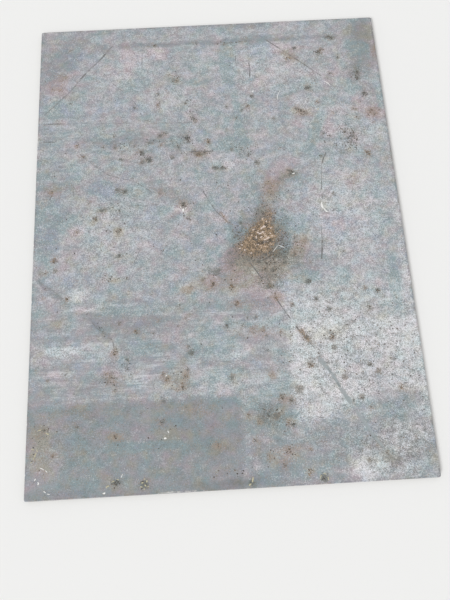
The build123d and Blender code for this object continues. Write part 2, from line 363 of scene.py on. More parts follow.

# Rust spots: place, radius. Four of the dark spots are painted shadow under the straw bits
Spot = namedtuple("Spot", "x y radius")
DARK_SPOTS_AND_SHADOWS = (
    Spot(141, -212, 2.6), Spot(158, -232, 3.0), Spot(46, 12, 3.0), Spot(36, -16, 3.2), Spot(28, -6, 2.4),
    Spot(-308, 448, 3.4), Spot(-73, 355, 3.0), Spot(-115, 324, 3.0), Spot(-167, 292, 3.8),
    Spot(-308, 312, 3.6), Spot(-57, 299, 3.8), Spot(-57, 214, 5.4), Spot(-137, 205, 3.8),
    Spot(-168, 201, 3.6), Spot(-153, 181, 5.6), Spot(-138, 165, 5.4), Spot(-74, 192, 3.4),
    Spot(-210, 198, 3.4), Spot(-235, 200, 3.2), Spot(-198, 170, 3.4), Spot(-113, 222, 4.4),
    Spot(-102, 226, 3.6), Spot(-212, 226, 2.8), Spot(-27, 451, 4.2), Spot(28, 452, 2.2),
    Spot(35, 445, 2.0), Spot(22, 446, 2.0), Spot(72, 450, 2.8), Spot(85, 452, 3.0),
    Spot(193, 427, 4.6), Spot(64, 274, 3.6), Spot(32, 283, 2.8), Spot(52, 256, 3.6),
    Spot(-40, 260, 3.6), Spot(88, 308, 4.0), Spot(131, 250, 2.6), Spot(36, 180, 3.2),
    Spot(58, 182, 3.4), Spot(140, 178, 2.6), Spot(72, 165, 3.0), Spot(270, 452, 5.0),
    Spot(279, 448, 4.6), Spot(244, 413, 5.8), Spot(287, 397, 3.8), Spot(268, 357, 3.6),
    Spot(325, 357, 4.6), Spot(324, 341, 4.8), Spot(213, 323, 6.0), Spot(230, 340, 3.4),
    Spot(183, 273, 3.2), Spot(335, 301, 5.6), Spot(318, 303, 2.4), Spot(324, 282, 2.2),
    Spot(306, 264, 2.8), Spot(249, 201, 2.6), Spot(236, 207, 2.4), Spot(282, 210, 3.0),
    Spot(288, 196, 3.2), Spot(299, 199, 3.0), Spot(305, 188, 3.2), Spot(293, 186, 2.6),
    Spot(302, 207, 2.4), Spot(225, 155, 3.0), Spot(-265, 72, 3.2), Spot(-237, 55, 4.2),
    Spot(-190, 95, 4.0), Spot(-205, 100, 2.8), Spot(-201, 53, 3.4), Spot(-202, -45, 4.0),
    Spot(-307, -53, 2.2), Spot(-69, 58, 6.0), Spot(-60, 27, 4.2), Spot(-141, -127, 2.6),
    Spot(-62, -119, 2.4), Spot(-174, 125, 2.6), Spot(-117, 87, 3.0), Spot(-155, 160, 3.6),
    Spot(-38, -105, 2.8), Spot(161, 120, 5.6), Spot(154, 124, 3.0), Spot(88, 147, 4.4),
    Spot(173, -120, 4.6), Spot(153, -25, 3.2), Spot(180, -78, 3.2), Spot(243, 66, 4.0),
    Spot(307, -145, 5.0), Spot(183, -155, 4.0), Spot(248, -60, 2.4), Spot(-203, -185, 2.8),
    Spot(-138, -206, 2.8), Spot(-188, -255, 3.2), Spot(-188, -273, 3.4), Spot(-66, -250, 4.0),
    Spot(-73, -181, 2.8), Spot(-86, -154, 2.8), Spot(-70, -238, 2.6),
    Spot(-75, -280, 3.6), Spot(-212, -312, 2.8), Spot(-305, -278, 2.6),
    Spot(-120, -337, 3.0), Spot(-125, -374, 4.2), Spot(-282, -375, 3.2), Spot(-342, -378, 3.2),
    Spot(5, -201, 4.4), Spot(80, -224, 2.6), Spot(80, -253, 3.4), Spot(45, -186, 2.4),
    Spot(62, -186, 2.6), Spot(35, -199, 2.0), Spot(10, -301, 3.4), Spot(117, -349, 4.6),
    Spot(117, -392, 4.6), Spot(287, -180, 3.8),
    Spot(205, -179, 4.4), Spot(320, -283, 2.6), Spot(283, -454, 2.6), Spot(233, -356, 3.4),
    # The spots at (-211, -478), (-160, -482), (33, -491) and (164, -490) are painted shadow: dark crumbs
    # under the clusters of straw bits
    Spot(-211, -478, 5.6), Spot(129, -77, 3.4), Spot(104, -92, 3.2), Spot(76, -73, 3.0), Spot(118, -60, 3.0),
    Spot(-160, -482, 5.4), Spot(33, -491, 4.0), Spot(164, -490, 5.4), Spot(0, 140, 4.0), Spot(15, 138, 3.6),
)
BROWN_SPOTS = (
    Spot(146, -219, 3.2), Spot(152, -228, 3.8), Spot(161, -237, 4.0), Spot(172, -244, 2.6),
    Spot(-120, 452, 4.6), Spot(-117, 299, 4.6), Spot(-112, 199, 4.4),
    Spot(-290, 208, 5.0), Spot(-278, 182, 5.2), Spot(178, 400, 6.4), Spot(252, 420, 5.0),
    Spot(128, 322, 2.6), Spot(78, 283, 4.6), Spot(-36, 254, 3.6), Spot(-12, 203, 5.6),
    Spot(-33, 173, 5.4), Spot(-20, 178, 3.0), Spot(231, 286, 5.0), Spot(195, 258, 4.6),
    Spot(188, 266, 3.0), Spot(204, 258, 3.2), Spot(345, 256, 5.6), Spot(352, 250, 3.6),
    Spot(347, 228, 2.8), Spot(313, 243, 4.6), Spot(262, 257, 2.8), Spot(325, 155, 5.6),
    Spot(-343, 100, 4.8), Spot(-286, 11, 4.6), Spot(-203, 9, 5.2), Spot(-250, 36, 5.2),
    Spot(-333, -48, 6.0), Spot(-350, -75, 3.4), Spot(-305, -130, 5.4), Spot(-352, -125, 3.4),
    Spot(20, -122, 6.4), Spot(28, -156, 5.4), Spot(105, -148, 5.4), Spot(95, -125, 5.0),
    Spot(-18, -115, 5.6), Spot(135, -165, 4.6), Spot(-170, -203, 5.0), Spot(-128, -182, 2.6),
    Spot(-213, -243, 5.0), Spot(-120, -287, 4.4), Spot(-114, -297, 5.0), Spot(-77, -292, 4.6),
    Spot(-85, -312, 5.2), Spot(-96, -318, 3.4), Spot(-338, -287, 3.0), Spot(-228, -280, 3.0),
    Spot(-220, -286, 3.2), Spot(-214, -294, 3.0), Spot(-226, -298, 2.8), Spot(-212, -397, 5.2),
    Spot(-325, -425, 4.2), Spot(57, -213, 4.8), Spot(75, -212, 4.2), Spot(108, -220, 4.6),
    Spot(85, -300, 4.0), Spot(101, -341, 5.4), Spot(55, -385, 3.2), Spot(108, -390, 4.6),
    Spot(35, -372, 4.4), Spot(45, -417, 4.2), Spot(105, -437, 5.0), Spot(95, -463, 4.2),
    Spot(145, -437, 3.4), Spot(140, -478, 5.4), Spot(-25, -422, 4.0),
    Spot(206, -234, 6.0), Spot(160, -285, 5.4),
    Spot(265, -370, 4.2), Spot(325, -335, 5.0), Spot(282, -138, 4.4),
    Spot(150, -61, 4.6), Spot(87, -90, 5.0), Spot(171, -34, 4.0), Spot(96, -110, 3.6),
    Spot(68, -445, 4.0), Spot(-330, 345, 4.6), Spot(-345, 348, 4.0), Spot(-320, 378, 3.6),
)
GREY_SPOTS = (
    Spot(134, -329, 8.2), Spot(222, -312, 5.4), Spot(287, -303, 5.6), Spot(208, -253, 5.2),
    Spot(250, -464, 3.6), Spot(-90, 170, 5.6), Spot(313, 262, 3.4),
    Spot(250, -350, 6.0), Spot(272, -290, 5.0), Spot(88, -376, 6.0), Spot(-330, -70, 5.0),
)

# Where small dark specks gather, with their number as the amount
SPECK_SCATTER = (
    Patch(298, 200, 17, 26, 0, 46), Patch(278, 218, 16, 10, 0, 22),
    Patch(240, 200, 10, 17, 0, 16), Patch(268, 178, 16, 9, 0, 18),
    Patch(300, 172, 12, 8, 0, 10), Patch(-50, 205, 34, 14, 0, 26),
    Patch(-100, 212, 18, 16, 0, 14), Patch(-180, 203, 60, 18, 0, 26),
    Patch(-145, 172, 18, 12, 0, 12), Patch(-35, 178, 30, 6, 0, 24),
    Patch(10, 138, 18, 4, 0, 16), Patch(62, 170, 14, 16, 0, 14),
    Patch(40, 185, 20, 5, 0, 6), Patch(320, 350, 10, 16, 0, 16),
    Patch(222, 330, 14, 10, 0, 12), Patch(190, 264, 16, 10, 0, 18),
    Patch(346, 250, 16, 9, 0, 18), Patch(244, 412, 8, 8, 0, 10),
    Patch(272, 450, 10, 6, 0, 10), Patch(60, 449, 34, 3, 0, 12),
    Patch(-115, 449, 12, 4, 0, 6), Patch(-42, 262, 6, 16, 0, 10),
    Patch(-75, 360, 20, 16, 0, 26), Patch(-48, 285, 14, 24, 0, 16),
    Patch(-220, 60, 60, 26, 0, 26), Patch(-175, -10, 90, 60, 0, 24),
    Patch(-60, 45, 16, 18, 0, 12), Patch(-215, -93, 34, 7, 0, 26),
    Patch(95, -66, 36, 18, 0, 120), Patch(127, -34, 11, 26, 10, 80),
    Patch(38, -6, 12, 16, 0, 22), Patch(-5, -100, 34, 16, 0, 16),
    Patch(100, -105, 18, 22, 0, 20), Patch(-222, -292, 16, 14, 0, 26),
    Patch(-95, -300, 30, 16, -20, 18), Patch(-190, -262, 10, 14, 0, 6),
    Patch(76, -372, 24, 18, 0, 24), Patch(105, -380, 12, 16, 0, 12),
    Patch(230, -260, 85, 85, 0, 170), Patch(320, -290, 45, 80, 0, 50),
    Patch(130, -240, 14, 40, 0, 12), Patch(-345, -400, 20, 40, 0, 16),
    Patch(100, -445, 30, 18, 0, 16), Patch(10, -472, 46, 10, 0, 15),
    Patch(-150, -420, 140, 60, 0, 20), Patch(-236, -196, 26, 4, -45, 14),
    Patch(-213, -238, 4, 16, 0, 10), Patch(0, 60, 300, 320, 0, 180),
)

# Scratches: the points of the path, the half width of the furrow, how dark it is, its lips
Scratch = namedtuple("Scratch", "path half dark lip")
SCRATCHES = (
    Scratch(((-369, 280), (-340, 308), (-304, 345)), 2.5, 0.50, 0.2),
    Scratch(((-308, 340), (-276, 385), (-241, 421), (-221, 448), (-207, 465)), 2.6, 0.60, 0.4),
    Scratch(((100, 480), (150, 435), (205, 388), (252, 345)), 1.8, 0.60, 0.5),
    Scratch(((-287, 190), (-266, 170), (-236, 144)), 2.1, 0.52, 0.3),
    Scratch(((-240, 148), (-222, 133), (-170, 118), (-130, 88)), 1.5, 0.50, 0.3),
    Scratch(((-33, 97), (-5, 42), (28, 5)), 1.5, 0.62, 0.4),
    Scratch(((52, -64), (66, -86), (82, -112)), 1.5, 1.0, 0.1),
    Scratch(((104, -150), (118, -175), (131, -196)), 1.5, 0.85, 0.3),
    Scratch(((136, -206), (148, -222), (174, -258)), 2.0, 0.80, 0.5),
    Scratch(((238, 166), (230, 150), (224, 134)), 1.8, 0.80, 0.3),
    Scratch(((224, 134), (220, 100), (217, 52)), 1.2, 0.62, 0.2),
    Scratch(((209, -2), (208, -34)), 1.1, 0.60, 0.2),
    Scratch(((208, -32), (206, -52), (202, -76)), 2.0, 0.95, 0.4),
    Scratch(((-241, 392), (-205, 346), (-180, 326)), 1.4, 0.44, 0.2),
    Scratch(((-178, 320), (-160, 296), (-135, 268)), 1.2, 0.40, 0.2),
    Scratch(((-366, -86), (-352, -98), (-335, -108), (-309, -134)), 2.8, 0.34, 0.2),
    Scratch(((-258, -174), (-250, -188), (-232, -202), (-215, -216), (-213, -250)), 2.2, 0.42, 0.2),
    Scratch(((-152, -14), (-163, -40), (-179, -74)), 1.1, 0.50, 0.2),
    Scratch(((-370, 262), (-345, 263), (-315, 262)), 2.4, 0.52, 0.2),
    Scratch(((-318, 262), (-240, 259), (-100, 252), (-6, 248)), 1.5, 0.45, 0.2),
    Scratch(((-366, 220), (-332, 219)), 1.6, 0.55, 0.2),
    Scratch(((-146, 450), (-149, 420), (-150, 378)), 1.1, 0.55, 0.2),
    Scratch(((-297, 120), (-297, 88)), 1.3, 0.75, 0.2),
    Scratch(((-126, 10), (-125, -50)), 1.0, 0.35, 0.2),
    Scratch(((88, 402), (89, 372), (87, 352)), 1.4, 0.80, 0.2),
    Scratch(((60, 416), (59, 400), (60, 384)), 1.1, 0.60, 0.2),
    Scratch(((-54, 180), (-30, 180), (0, 178)), 2.0, 0.75, 0.3),
    Scratch(((-10, 141), (4, 139), (24, 138)), 1.8, 0.55, 0.2),
    Scratch(((-190, 63), (-150, 62), (-118, 62)), 1.2, 0.60, 0.2),
)
# The wide scrape: a bare grey-blue furrow through the chalky bloom. A darkness of 0
# marks a scrape.
SCRAPES = (
    Scratch(((175, -270), (184, -282), (200, -304)), 5.4, 0.0, 0.9),
    Scratch(((192, -294), (203, -312), (212, -332)), 3.4, 0.0, 0.9),
    Scratch(((206, -320), (217, -340), (229, -362)), 5.4, 0.0, 0.9),
    Scratch(((234, -372), (250, -398), (262, -420), (280, -446)), 3.0, 0.0, 0.3),
)

# The crust of burnt rust: its middle, its radius, its lobes (angle, spread, extra radius), how far
# its skirt reaches past them, the rings and steps it is made of, and its hollows
CRUST_MIDDLE = (86, -20)
CRUST_RADIUS = 35
CRUST_LOBES = ((210, 24, 20), (72, 26, 9), (140, 26, -8), (305, 30, 5))
CRUST_SKIRT = 6
CRUST_RINGS = 130
CRUST_STEPS = 320
CRUST_HOLLOWS = (
    Patch(86, -33, 12, 3.2, 12, 0.9), Patch(101, -29, 6, 3.0, 40, 0.8),
    Patch(72, -24, 6, 3.5, -20, 0.6), Patch(96, 6, 5, 2.6, 30, 0.5),
    Patch(56, -44, 6, 3.0, 10, 0.5),
)
# Where crumbs of rust lie scattered, with their number as the amount
CRUST_SCATTER = (
    Patch(86, -16, 30, 27, 0, 330), Patch(52, -42, 23, 15, 0, 130),
    Patch(101, 22, 16, 24, -15, 120), Patch(92, -56, 34, 18, 0, 110),
    Patch(125, 20, 20, 28, 0, 20), Patch(92, -22, 60, 50, 0, 110),
    Patch(158, -42, 20, 18, 0, 20), Patch(112, 82, 18, 22, 0, 26),
)
# Pale flakes on the crust: middle, length, width and turn in degrees
Flake = namedtuple("Flake", "x y length width turn")
FLAKES = (
    Flake(92, 1, 8.5, 4.4, 32), Flake(87, -2, 6.0, 3.4, 50),
    Flake(89, -10, 5.0, 3.0, -10), Flake(84, -13, 6.5, 4.0, 20),
    Flake(79, -11, 5.0, 3.2, -30), Flake(90, -15, 6.0, 4.2, -40),
    Flake(98, -24, 8.0, 4.2, 35), Flake(92, -27, 6.0, 3.0, 20),
    Flake(85, -21, 5.0, 3.2, 0), Flake(75, -20, 4.6, 3.0, 60),
    Flake(91, 19, 4.5, 2.4, 80), Flake(98, 12, 3.6, 2.4, 20),
    Flake(70, -4, 3.8, 2.6, 40), Flake(45, -36, 4.0, 2.6, 10),
    Flake(40, -43, 4.2, 2.8, -20), Flake(50, -47, 3.6, 2.6, 30),
    Flake(63, -54, 3.6, 2.4, -30), Flake(104, -14, 3.6, 2.4, 70),
    Flake(106, -2, 3.4, 2.2, 10), Flake(78, -37, 3.4, 2.4, 0),
    Flake(66, -16, 3.4, 2.4, -60),
)

# Loose bits on the face: middle, length, width, bend in degrees, turn in degrees
Bit = namedtuple("Bit", "x y length width bend turn")
PALE_BITS = (
    Bit(215, 41, 15, 3.2, 60, 100), Bit(221, 30, 11, 2.6, 50, 128),
    Bit(-71, 47, 8, 3.6, 30, 80), Bit(-65, 51, 5, 1.8, 20, 40),
    Bit(-76, 54, 4, 1.6, 20, 110), Bit(257, 332, 19, 1.6, 30, -42),
    Bit(146, 308, 24, 1.3, 40, 70), Bit(124, -43, 16, 1.2, 8, -28),
    Bit(112, -47, 20, 1.0, 10, 48), Bit(-344, -445, 8, 1.5, 10, -28),
    Bit(-336, -450, 5, 1.4, 10, -40), Bit(-350, -470, 5, 2.6, 30, 100),
    Bit(-356, -463, 4, 2.2, 20, 40), Bit(-338, -485, 5, 1.7, 10, -30),
    Bit(-331, -489, 5, 1.4, 10, -10), Bit(-200, -465, 7, 1.6, 10, 62),
    Bit(-232, -493, 5, 3.0, 30, 10), Bit(-120, -404, 5, 3.4, 20, 0),
    Bit(-114, -393, 4, 2.4, 20, 110), Bit(-115, -290, 4, 1.8, 10, 40),
    Bit(163, 117, 6, 2.0, 30, 10), Bit(92, 320, 5, 1.6, 20, 60),
)
STRAW_BITS = (
    Bit(-155, -477, 4, 2.4, 20, 75), Bit(-163, -479, 4, 2.2, 20, 20),
    Bit(-158, -484, 4, 2.4, 20, 130), Bit(-153, -486, 3, 1.8, 20, 40),
    Bit(-165, -486, 4, 2.0, 20, 160), Bit(-160, -490, 3, 1.8, 20, 90),
    Bit(-159, -473, 3, 1.6, 20, 10), Bit(35, -485, 9, 2.6, 60, 80),
    Bit(30, -493, 5, 2.8, 30, 20), Bit(158, -487, 8, 1.6, 70, 70),
    Bit(166, -482, 6, 1.5, 60, -20), Bit(171, -491, 7, 1.6, 50, 100),
    Bit(-216, -474, 6, 1.4, 40, 20), Bit(-207, -471, 5, 1.3, 30, -10),
    Bit(-357, -420, 8, 2.2, 50, 70), Bit(-362, -410, 6, 1.8, 40, -20),
    Bit(-360, -427, 5, 1.6, 40, 60), Bit(-354, -413, 5, 1.4, 30, 120),
    Bit(-364, -433, 4, 1.4, 30, 20), Bit(-351, -377, 7, 1.8, 30, 20),
    Bit(-336, -384, 7, 1.8, 30, -30), Bit(-226, -482, 7, 2.0, 60, 30),
    Bit(230, 268, 5, 1.6, 30, 50),
)

# How rust spots, and the dark spots painted as shadow under the straw bits, mark the scale round them: the
# amount and reach of the stain, then of the soot and painted shadow, with each reach as a share of the
# spot's radius
SPOT_MARKS = (
    (BROWN_SPOTS, 0.80, 1.7, 0.30, 1.0),
    (DARK_SPOTS_AND_SHADOWS, 0.55, 2.2, 0.80, 1.2),
)
GREY_REACH = 1.1
GREY_SOOT = 0.55
MOST_DRAG = 0.8
# Shade of the rust where nothing else is said, from 0 for black to 1 for pale flakes
FACE_SHADE = 0.28
# Roughness of the polished band and of the foot of the edge
BURNISH_ROUGHNESS = 0.04
FOOT_ROUGHNESS = 0.25
# How near a side loose crumbs may lie
CRUMB_MARGIN = 12
SENSOR_WIDTH = 36.0


def length(name, description, millimetres):
    """A length property, its default given in millimetres."""
    metres = millimetres * MM
    return bpy.props.FloatProperty(name=name, description=description, default=metres, unit="LENGTH")


def rotation(name, description, degrees):
    """An angle property, its default given in degrees."""
    turn = math.radians(degrees)
    return bpy.props.FloatProperty(name=name, description=description, default=turn, unit="ROTATION")


def colour(name, description, default):
    """A colour property, linear."""
    return bpy.props.FloatVectorProperty(
        name=name, description=description, default=default, subtype="COLOR", size=3, min=0.0, max=1.0
    )


class SteelPlateShape(bpy.types.PropertyGroup):
    """Sizes of the edge section and of the relief that rolling, shearing and rust left."""

    corner_radius: length("Corner radius", "How blunt the four corners are", 4.0)
    rollover_width: length("Rollover width", "How far in the top arris is rounded", 2.0)
    rollover_depth: length("Rollover depth", "How far down the top arris is rounded", 0.9)
    burnish_height: length("Burnish height", "Height of the band that the blade polished", 2.8)
    fracture_lean: length("Fracture lean", "How far the torn band leans in", 0.65)
    fracture_hollow: length("Fracture hollow", "How hollow the torn band is", 0.12)
    underside_break: length("Underside break", "Width of the flat along the lower arris", 0.35)
    tear_depth: length("Tear depth", "Roughness of the torn band", 0.3)
    tear_wander: length("Tear wander", "How far the foot of the polished band wanders", 0.7)
    nick_depth: length("Nick depth", "Depth of the nicks in the top arris", 0.7)
    waviness: length("Waviness", "Height of the slow waves in the face", 0.05)
    roughness: length("Rolled roughness", "Height of the small relief of the face", 0.03)
    crust_height: length("Crust height", "Height of the rust crust", 0.45)
    spot_height: length("Spot height", "Height of the rust spots", 0.14)
    lip_height: length("Lip height", "Height of the lips beside a scratch", 0.10)


class SteelPlateFinish(bpy.types.PropertyGroup):
    """Colours of the plate's finish."""

    teal_scale: colour("Teal scale", "The cold end of the mill scale", (0.272, 0.346, 0.368))
    lilac_scale: colour("Lilac scale", "The warm end of the mill scale", (0.400, 0.346, 0.380))
    blue_scale: colour("Blue scale", "Scale with a blue bloom", (0.310, 0.350, 0.425))
    dusty_scale: colour("Dusty scale", "Scale under yellow dust", (0.352, 0.350, 0.310))
    chalk: colour("Chalk", "The white bloom", (0.790, 0.797, 0.797))
    pit: colour("Pit", "The dark freckles in the scale", (0.150, 0.152, 0.145))
    stain: colour("Stain", "Rust soaked into the scale", (0.330, 0.245, 0.185))
    # Soot, also the colour of the painted shadow under the straw bits
    soot: colour("Soot", "Burnt dirt round the crust", (0.130, 0.145, 0.132))
    furrow: colour("Furrow", "The dirt in a scratch", (0.170, 0.170, 0.168))
    scrape: colour("Scrape", "Scale laid bare by a scrape", (0.345, 0.385, 0.395))
    rust_black: colour("Rust black", "The darkest rust", (0.080, 0.070, 0.058))
    rust_brown: colour("Rust brown", "Old rust", (0.242, 0.172, 0.105))
    rust_tan: colour("Rust tan", "Dry rust", (0.450, 0.324, 0.216))
    rust_flake: colour("Rust flake", "The palest flakes of the crust", (0.720, 0.605, 0.540))
    # Worn steel, also the colour of the painted glint along the arris
    bright_steel_and_glint: colour("Bright steel", "Steel worn bright", (0.520, 0.515, 0.500))
    burnished: colour("Burnished steel", "The polished band of a sheared edge", (0.430, 0.425, 0.410))
    torn: colour("Torn steel", "The torn band of a sheared edge", (0.230, 0.215, 0.200))
    pale_bit: colour("Pale bit", "Chips and curls on the face", (0.870, 0.872, 0.850))
    straw_bit: colour("Straw bit", "Bits of straw on the face", (0.560, 0.520, 0.360))


class SteelPlateStage(bpy.types.PropertyGroup):
    """The floor, the lights and the camera."""

    floor: colour("Floor", "The pale floor", (0.86, 0.86, 0.85))
    floor_size: length("Floor size", "Side of the square floor", 16000.0)
    sky_strength: bpy.props.FloatProperty(
        name="Sky strength", description="Even light from all round", default=0.62
    )
    seen_sky: bpy.props.FloatProperty(
        name="Seen sky", description="How bright the sky looks, also in the gloss of the metal", default=0.93
    )
    key_strength: bpy.props.FloatProperty(
        name="Key strength", description="Strength of the soft lamp", default=1.90
    )
    key_softness: rotation("Key softness", "How wide the lamp looks", 22.0)
    key_from_near: rotation("Key from near", "How far the lamp leans over from the near side", 36.0)
    key_from_left: rotation("Key from left", "How far the lamp leans over from the left", 38.0)
    lens: bpy.props.FloatProperty(name="Lens", description="Focal length in millimetres", default=31.2)
    camera_place: bpy.props.FloatVectorProperty(
        name="Camera place", description="Where the camera stands", default=(-0.0103, -0.4060, 0.9970),
        size=3, subtype="TRANSLATION", unit="LENGTH",
    )
    camera_tilt: rotation("Camera tilt", "Lean from straight down", 14.64)
    camera_turn: rotation("Camera turn", "Turn about the vertical", -3.24)


# Value noise and soft patches


def turned(x, y, degrees):
    """x and y turned anticlockwise: x cos - y sin, and x sin + y cos."""
    cosine, sine = np.cos(np.radians(degrees)), np.sin(np.radians(degrees))
    return x * cosine - y * sine, x * sine + y * cosine


def value_noise(x, y, cell, seed):
    """Random heights on a square lattice, one each cell millimetres, from -1 to 1. Between them the
    height follows 3 t^2 - 2 t^3 in x and in y."""
    heights = np.random.default_rng(seed).uniform(-1, 1, (LATTICE, LATTICE))
    across, along = np.floor(x / cell).astype(int), np.floor(y / cell).astype(int)
    u, v = x / cell - across, y / cell - along
    u, v = u * u * (3 - 2 * u), v * v * (3 - 2 * v)
    i, j = across % LATTICE, along % LATTICE
    i_next, j_next = (across + 1) % LATTICE, (along + 1) % LATTICE
    near = heights[i, j] * (1 - u) + heights[i_next, j] * u
    far = heights[i, j_next] * (1 - u) + heights[i_next, j_next] * u
    return near * (1 - v) + far * v


def rough_noise(x, y, cell, seed, octaves=4):
    """Value noise plus finer noise, each octave with half the cell and half the height, from -1 to 1."""
    layers = [value_noise(x, y, cell / 2**n, seed + n) / 2**n for n in range(octaves)]
    return sum(layers) / (2 - 0.5 ** (octaves - 1))


def smooth_step(low, high, value):
    """0 below low, 1 above high, and 3 t^2 - 2 t^3 between them."""
    t = np.clip((value - low) / (high - low), 0, 1)
    return t * t * (3 - 2 * t)


def patch_sum(patches, x, y):
    """The sum of the patches at x, y. Each is amount * exp(-d^4), where d is the distance from its
    middle over its reach, so it is flat in the middle and fades at its rim."""
    total = np.zeros(np.shape(x))
    for patch in patches:
        along, across = turned(x - patch.x, y - patch.y, -patch.turn)
        nearness = (along / patch.long) ** 2 + (across / patch.wide) ** 2
        total += patch.amount * np.exp(-(nearness**2))
    return total


def zone_sum(zones, x, y):
    """The sum of the zones at x, y: amount inside, fading over soft across each straight side."""
    total = np.zeros(np.shape(x))
    for zone in zones:
        sides = 1.0
        for depth in (x - zone.left, zone.right - x, y - zone.near, zone.far - y):
            sides = sides * smooth_step(-zone.soft, zone.soft, depth)
        total += zone.amount * sides
    return total


def from_edge(x, y):
    """The distance to the nearest side of the plate."""
    return np.minimum(WIDTH / 2 - np.abs(x), LENGTH / 2 - np.abs(y))


def face_fields(x, y):
    """What the finish shows at each point of the face, by name. The patches are read at places shifted by
    noise, so that their rims are ragged. Stain and soot fade round each rust spot as exp(-(distance /
    reach)^2), and fill each grey spot as exp(-distance^6). Round the dark spots under the straw bits this
    soot is painted shadow."""
    ragged_x = x + 9 * rough_noise(x, y, cell=38, seed=11) + 3 * rough_noise(x, y, cell=9, seed=12)
    ragged_y = y + 7 * rough_noise(x, y, cell=38, seed=21) + 3 * rough_noise(x, y, cell=9, seed=22)
    streak_y = y + 5 * rough_noise(x / 4, y, cell=16, seed=31)
    light = zone_sum(LIGHT_ZONES, x + 9 * rough_noise(x, y, cell=20, seed=33), streak_y)
    light += patch_sum(LIGHT_PATCHES, ragged_x, ragged_y)
    tint = zone_sum(TINT_ZONES, ragged_x, ragged_y) + patch_sum(TINT_PATCHES, ragged_x, ragged_y)
    uneven = 1 + 1.2 * rough_noise(x / 3, y, cell=22, seed=35)
    stain = patch_sum(STAIN_PATCHES, ragged_x, ragged_y)
    soot = patch_sum(SOOT_AND_SHADOW_PATCHES, ragged_x, ragged_y)
    spot_x = x + 2.5 * rough_noise(x, y, cell=8, seed=13)
    spot_y = y + 2.5 * rough_noise(x, y, cell=8, seed=23)
    for spots, stain_amount, stain_reach, soot_and_shadow_amount, soot_and_shadow_reach in SPOT_MARKS:
        for spot in spots:
            far = np.hypot(spot_x - spot.x, spot_y - spot.y) / spot.radius
            stain += stain_amount * np.exp(-((far / stain_reach) ** 2))
            soot += soot_and_shadow_amount * np.exp(-((far / soot_and_shadow_reach) ** 2))
    for spot in GREY_SPOTS:
        far = np.hypot(x - spot.x, y - spot.y) / (GREY_REACH * spot.radius)
        stain += np.exp(-(far**6))
        soot += GREY_SOOT * np.exp(-(far**6))
    return {
        "light": light,
        "tint": tint,
        "cast": patch_sum(CAST_PATCHES, ragged_x, ragged_y),
        "drag": np.clip(zone_sum(DRAG_ZONES, ragged_x, ragged_y) * uneven, 0, MOST_DRAG),
        "stain": stain,
        "soot": soot,
        "freckle": patch_sum(FRECKLE_PATCHES, ragged_x, ragged_y),
        "rust": patch_sum(RUST_PATCHES, ragged_x, ragged_y),
        "shade": np.full(np.shape(x), FACE_SHADE),
        "groove": np.zeros(np.shape(x)),
        "arris": np.zeros(np.shape(x)),
    }


def face_height(shape, x, y):
    """Height of the face over the flat top, at most 0: slow waves, small relief and dents."""
    waves = rough_noise(x, y, cell=120, seed=41, octaves=2) * shape.waviness / MM
    small = rough_noise(x, y, cell=14, seed=43, octaves=2) * shape.roughness / MM
    highest = (shape.waviness + shape.roughness) / MM
    return np.minimum(waves + small - highest + patch_sum(DENTS, x, y), 0)


# Meshes


def write_piece(name, points, faces, fields, materials, slots=None, sharp=None):
    """A mesh object of points in millimetres, with one float attribute for each field. Slots
    are its faces' materials, and edges that turn by more than sharp degrees stay sharp."""
    mesh = bpy.data.meshes.new(name)
    mesh.from_pydata((points * MM).tolist(), [], faces)
    for material in materials:
        mesh.materials.append(material)
    if slots is not None:
        mesh.polygons.foreach_set("material_index", np.asarray(slots, dtype=np.int32))
    for field, values in fields.items():
        attribute = mesh.attributes.new(field, "FLOAT", "POINT")
        attribute.data.foreach_set("value", np.asarray(values, dtype=np.float32))
    mesh.polygons.foreach_set("use_smooth", np.ones(len(faces), dtype=bool))
    if sharp is not None:
        mesh.set_sharp_from_angle(angle=math.radians(sharp))
    mesh.update()
    piece = bpy.data.objects.new(name, mesh)
    bpy.context.scene.collection.objects.link(piece)
    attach(piece, BODY)
    return piece


def graded_lines(half, steps):
    """Places from -half to half. The k-th from an end lies fine * k + (wide - fine) * (k - settle *
    (1 - exp(-k / settle))) away from it, so that the steps grow from fine to wide."""
    k = np.arange(steps // 2 + 1)
    growth = k - STEPS_TO_SETTLE * (1 - np.exp(-k / STEPS_TO_SETTLE))
    wide = FINE_STEP + (half - FINE_STEP * k[-1]) / growth[-1]
    inset = FINE_STEP * k + (wide - FINE_STEP) * growth
    return np.concatenate([inset - half, (half - inset)[-2::-1]])


def round_corners(x, y, half_x, half_y, radius):
    """Pulls the points of the four corner squares onto quarter discs: the distance from the disc's
    middle becomes the larger of its two parts, and its direction stays."""
    past_x = np.maximum(np.abs(x) - (half_x - radius), 0)
    past_y = np.maximum(np.abs(y) - (half_y - radius), 0)
    far = np.maximum(np.hypot(past_x, past_y), 1e-9)
    pull = np.where(np.minimum(past_x, past_y) > 0, np.maximum(past_x, past_y) / far, 1)
    x = np.sign(x) * (np.minimum(np.abs(x), half_x - radius) + past_x * pull)
    y = np.sign(y) * (np.minimum(np.abs(y), half_y - radius) + past_y * pull)
    return x, y


def grid_quads(index):
    """The quads of a grid of point numbers, anticlockwise where columns run to the right and rows up."""
    corners = (index[:-1, :-1], index[:-1, 1:], index[1:, 1:], index[1:, :-1])
    return np.stack([corner.ravel() for corner in corners], 1)


def border(index):
    """The numbers round a grid's border, anticlockwise from its first point."""
    return np.concatenate([index[0, :-1], index[:-1, -1], index[-1, :0:-1], index[:0:-1, 0]])


def ring_quads(upper, lower):
    """The quads between two closed rings of as many points."""
    return np.stack([upper, lower, np.roll(lower, -1), np.roll(upper, -1)], 1)


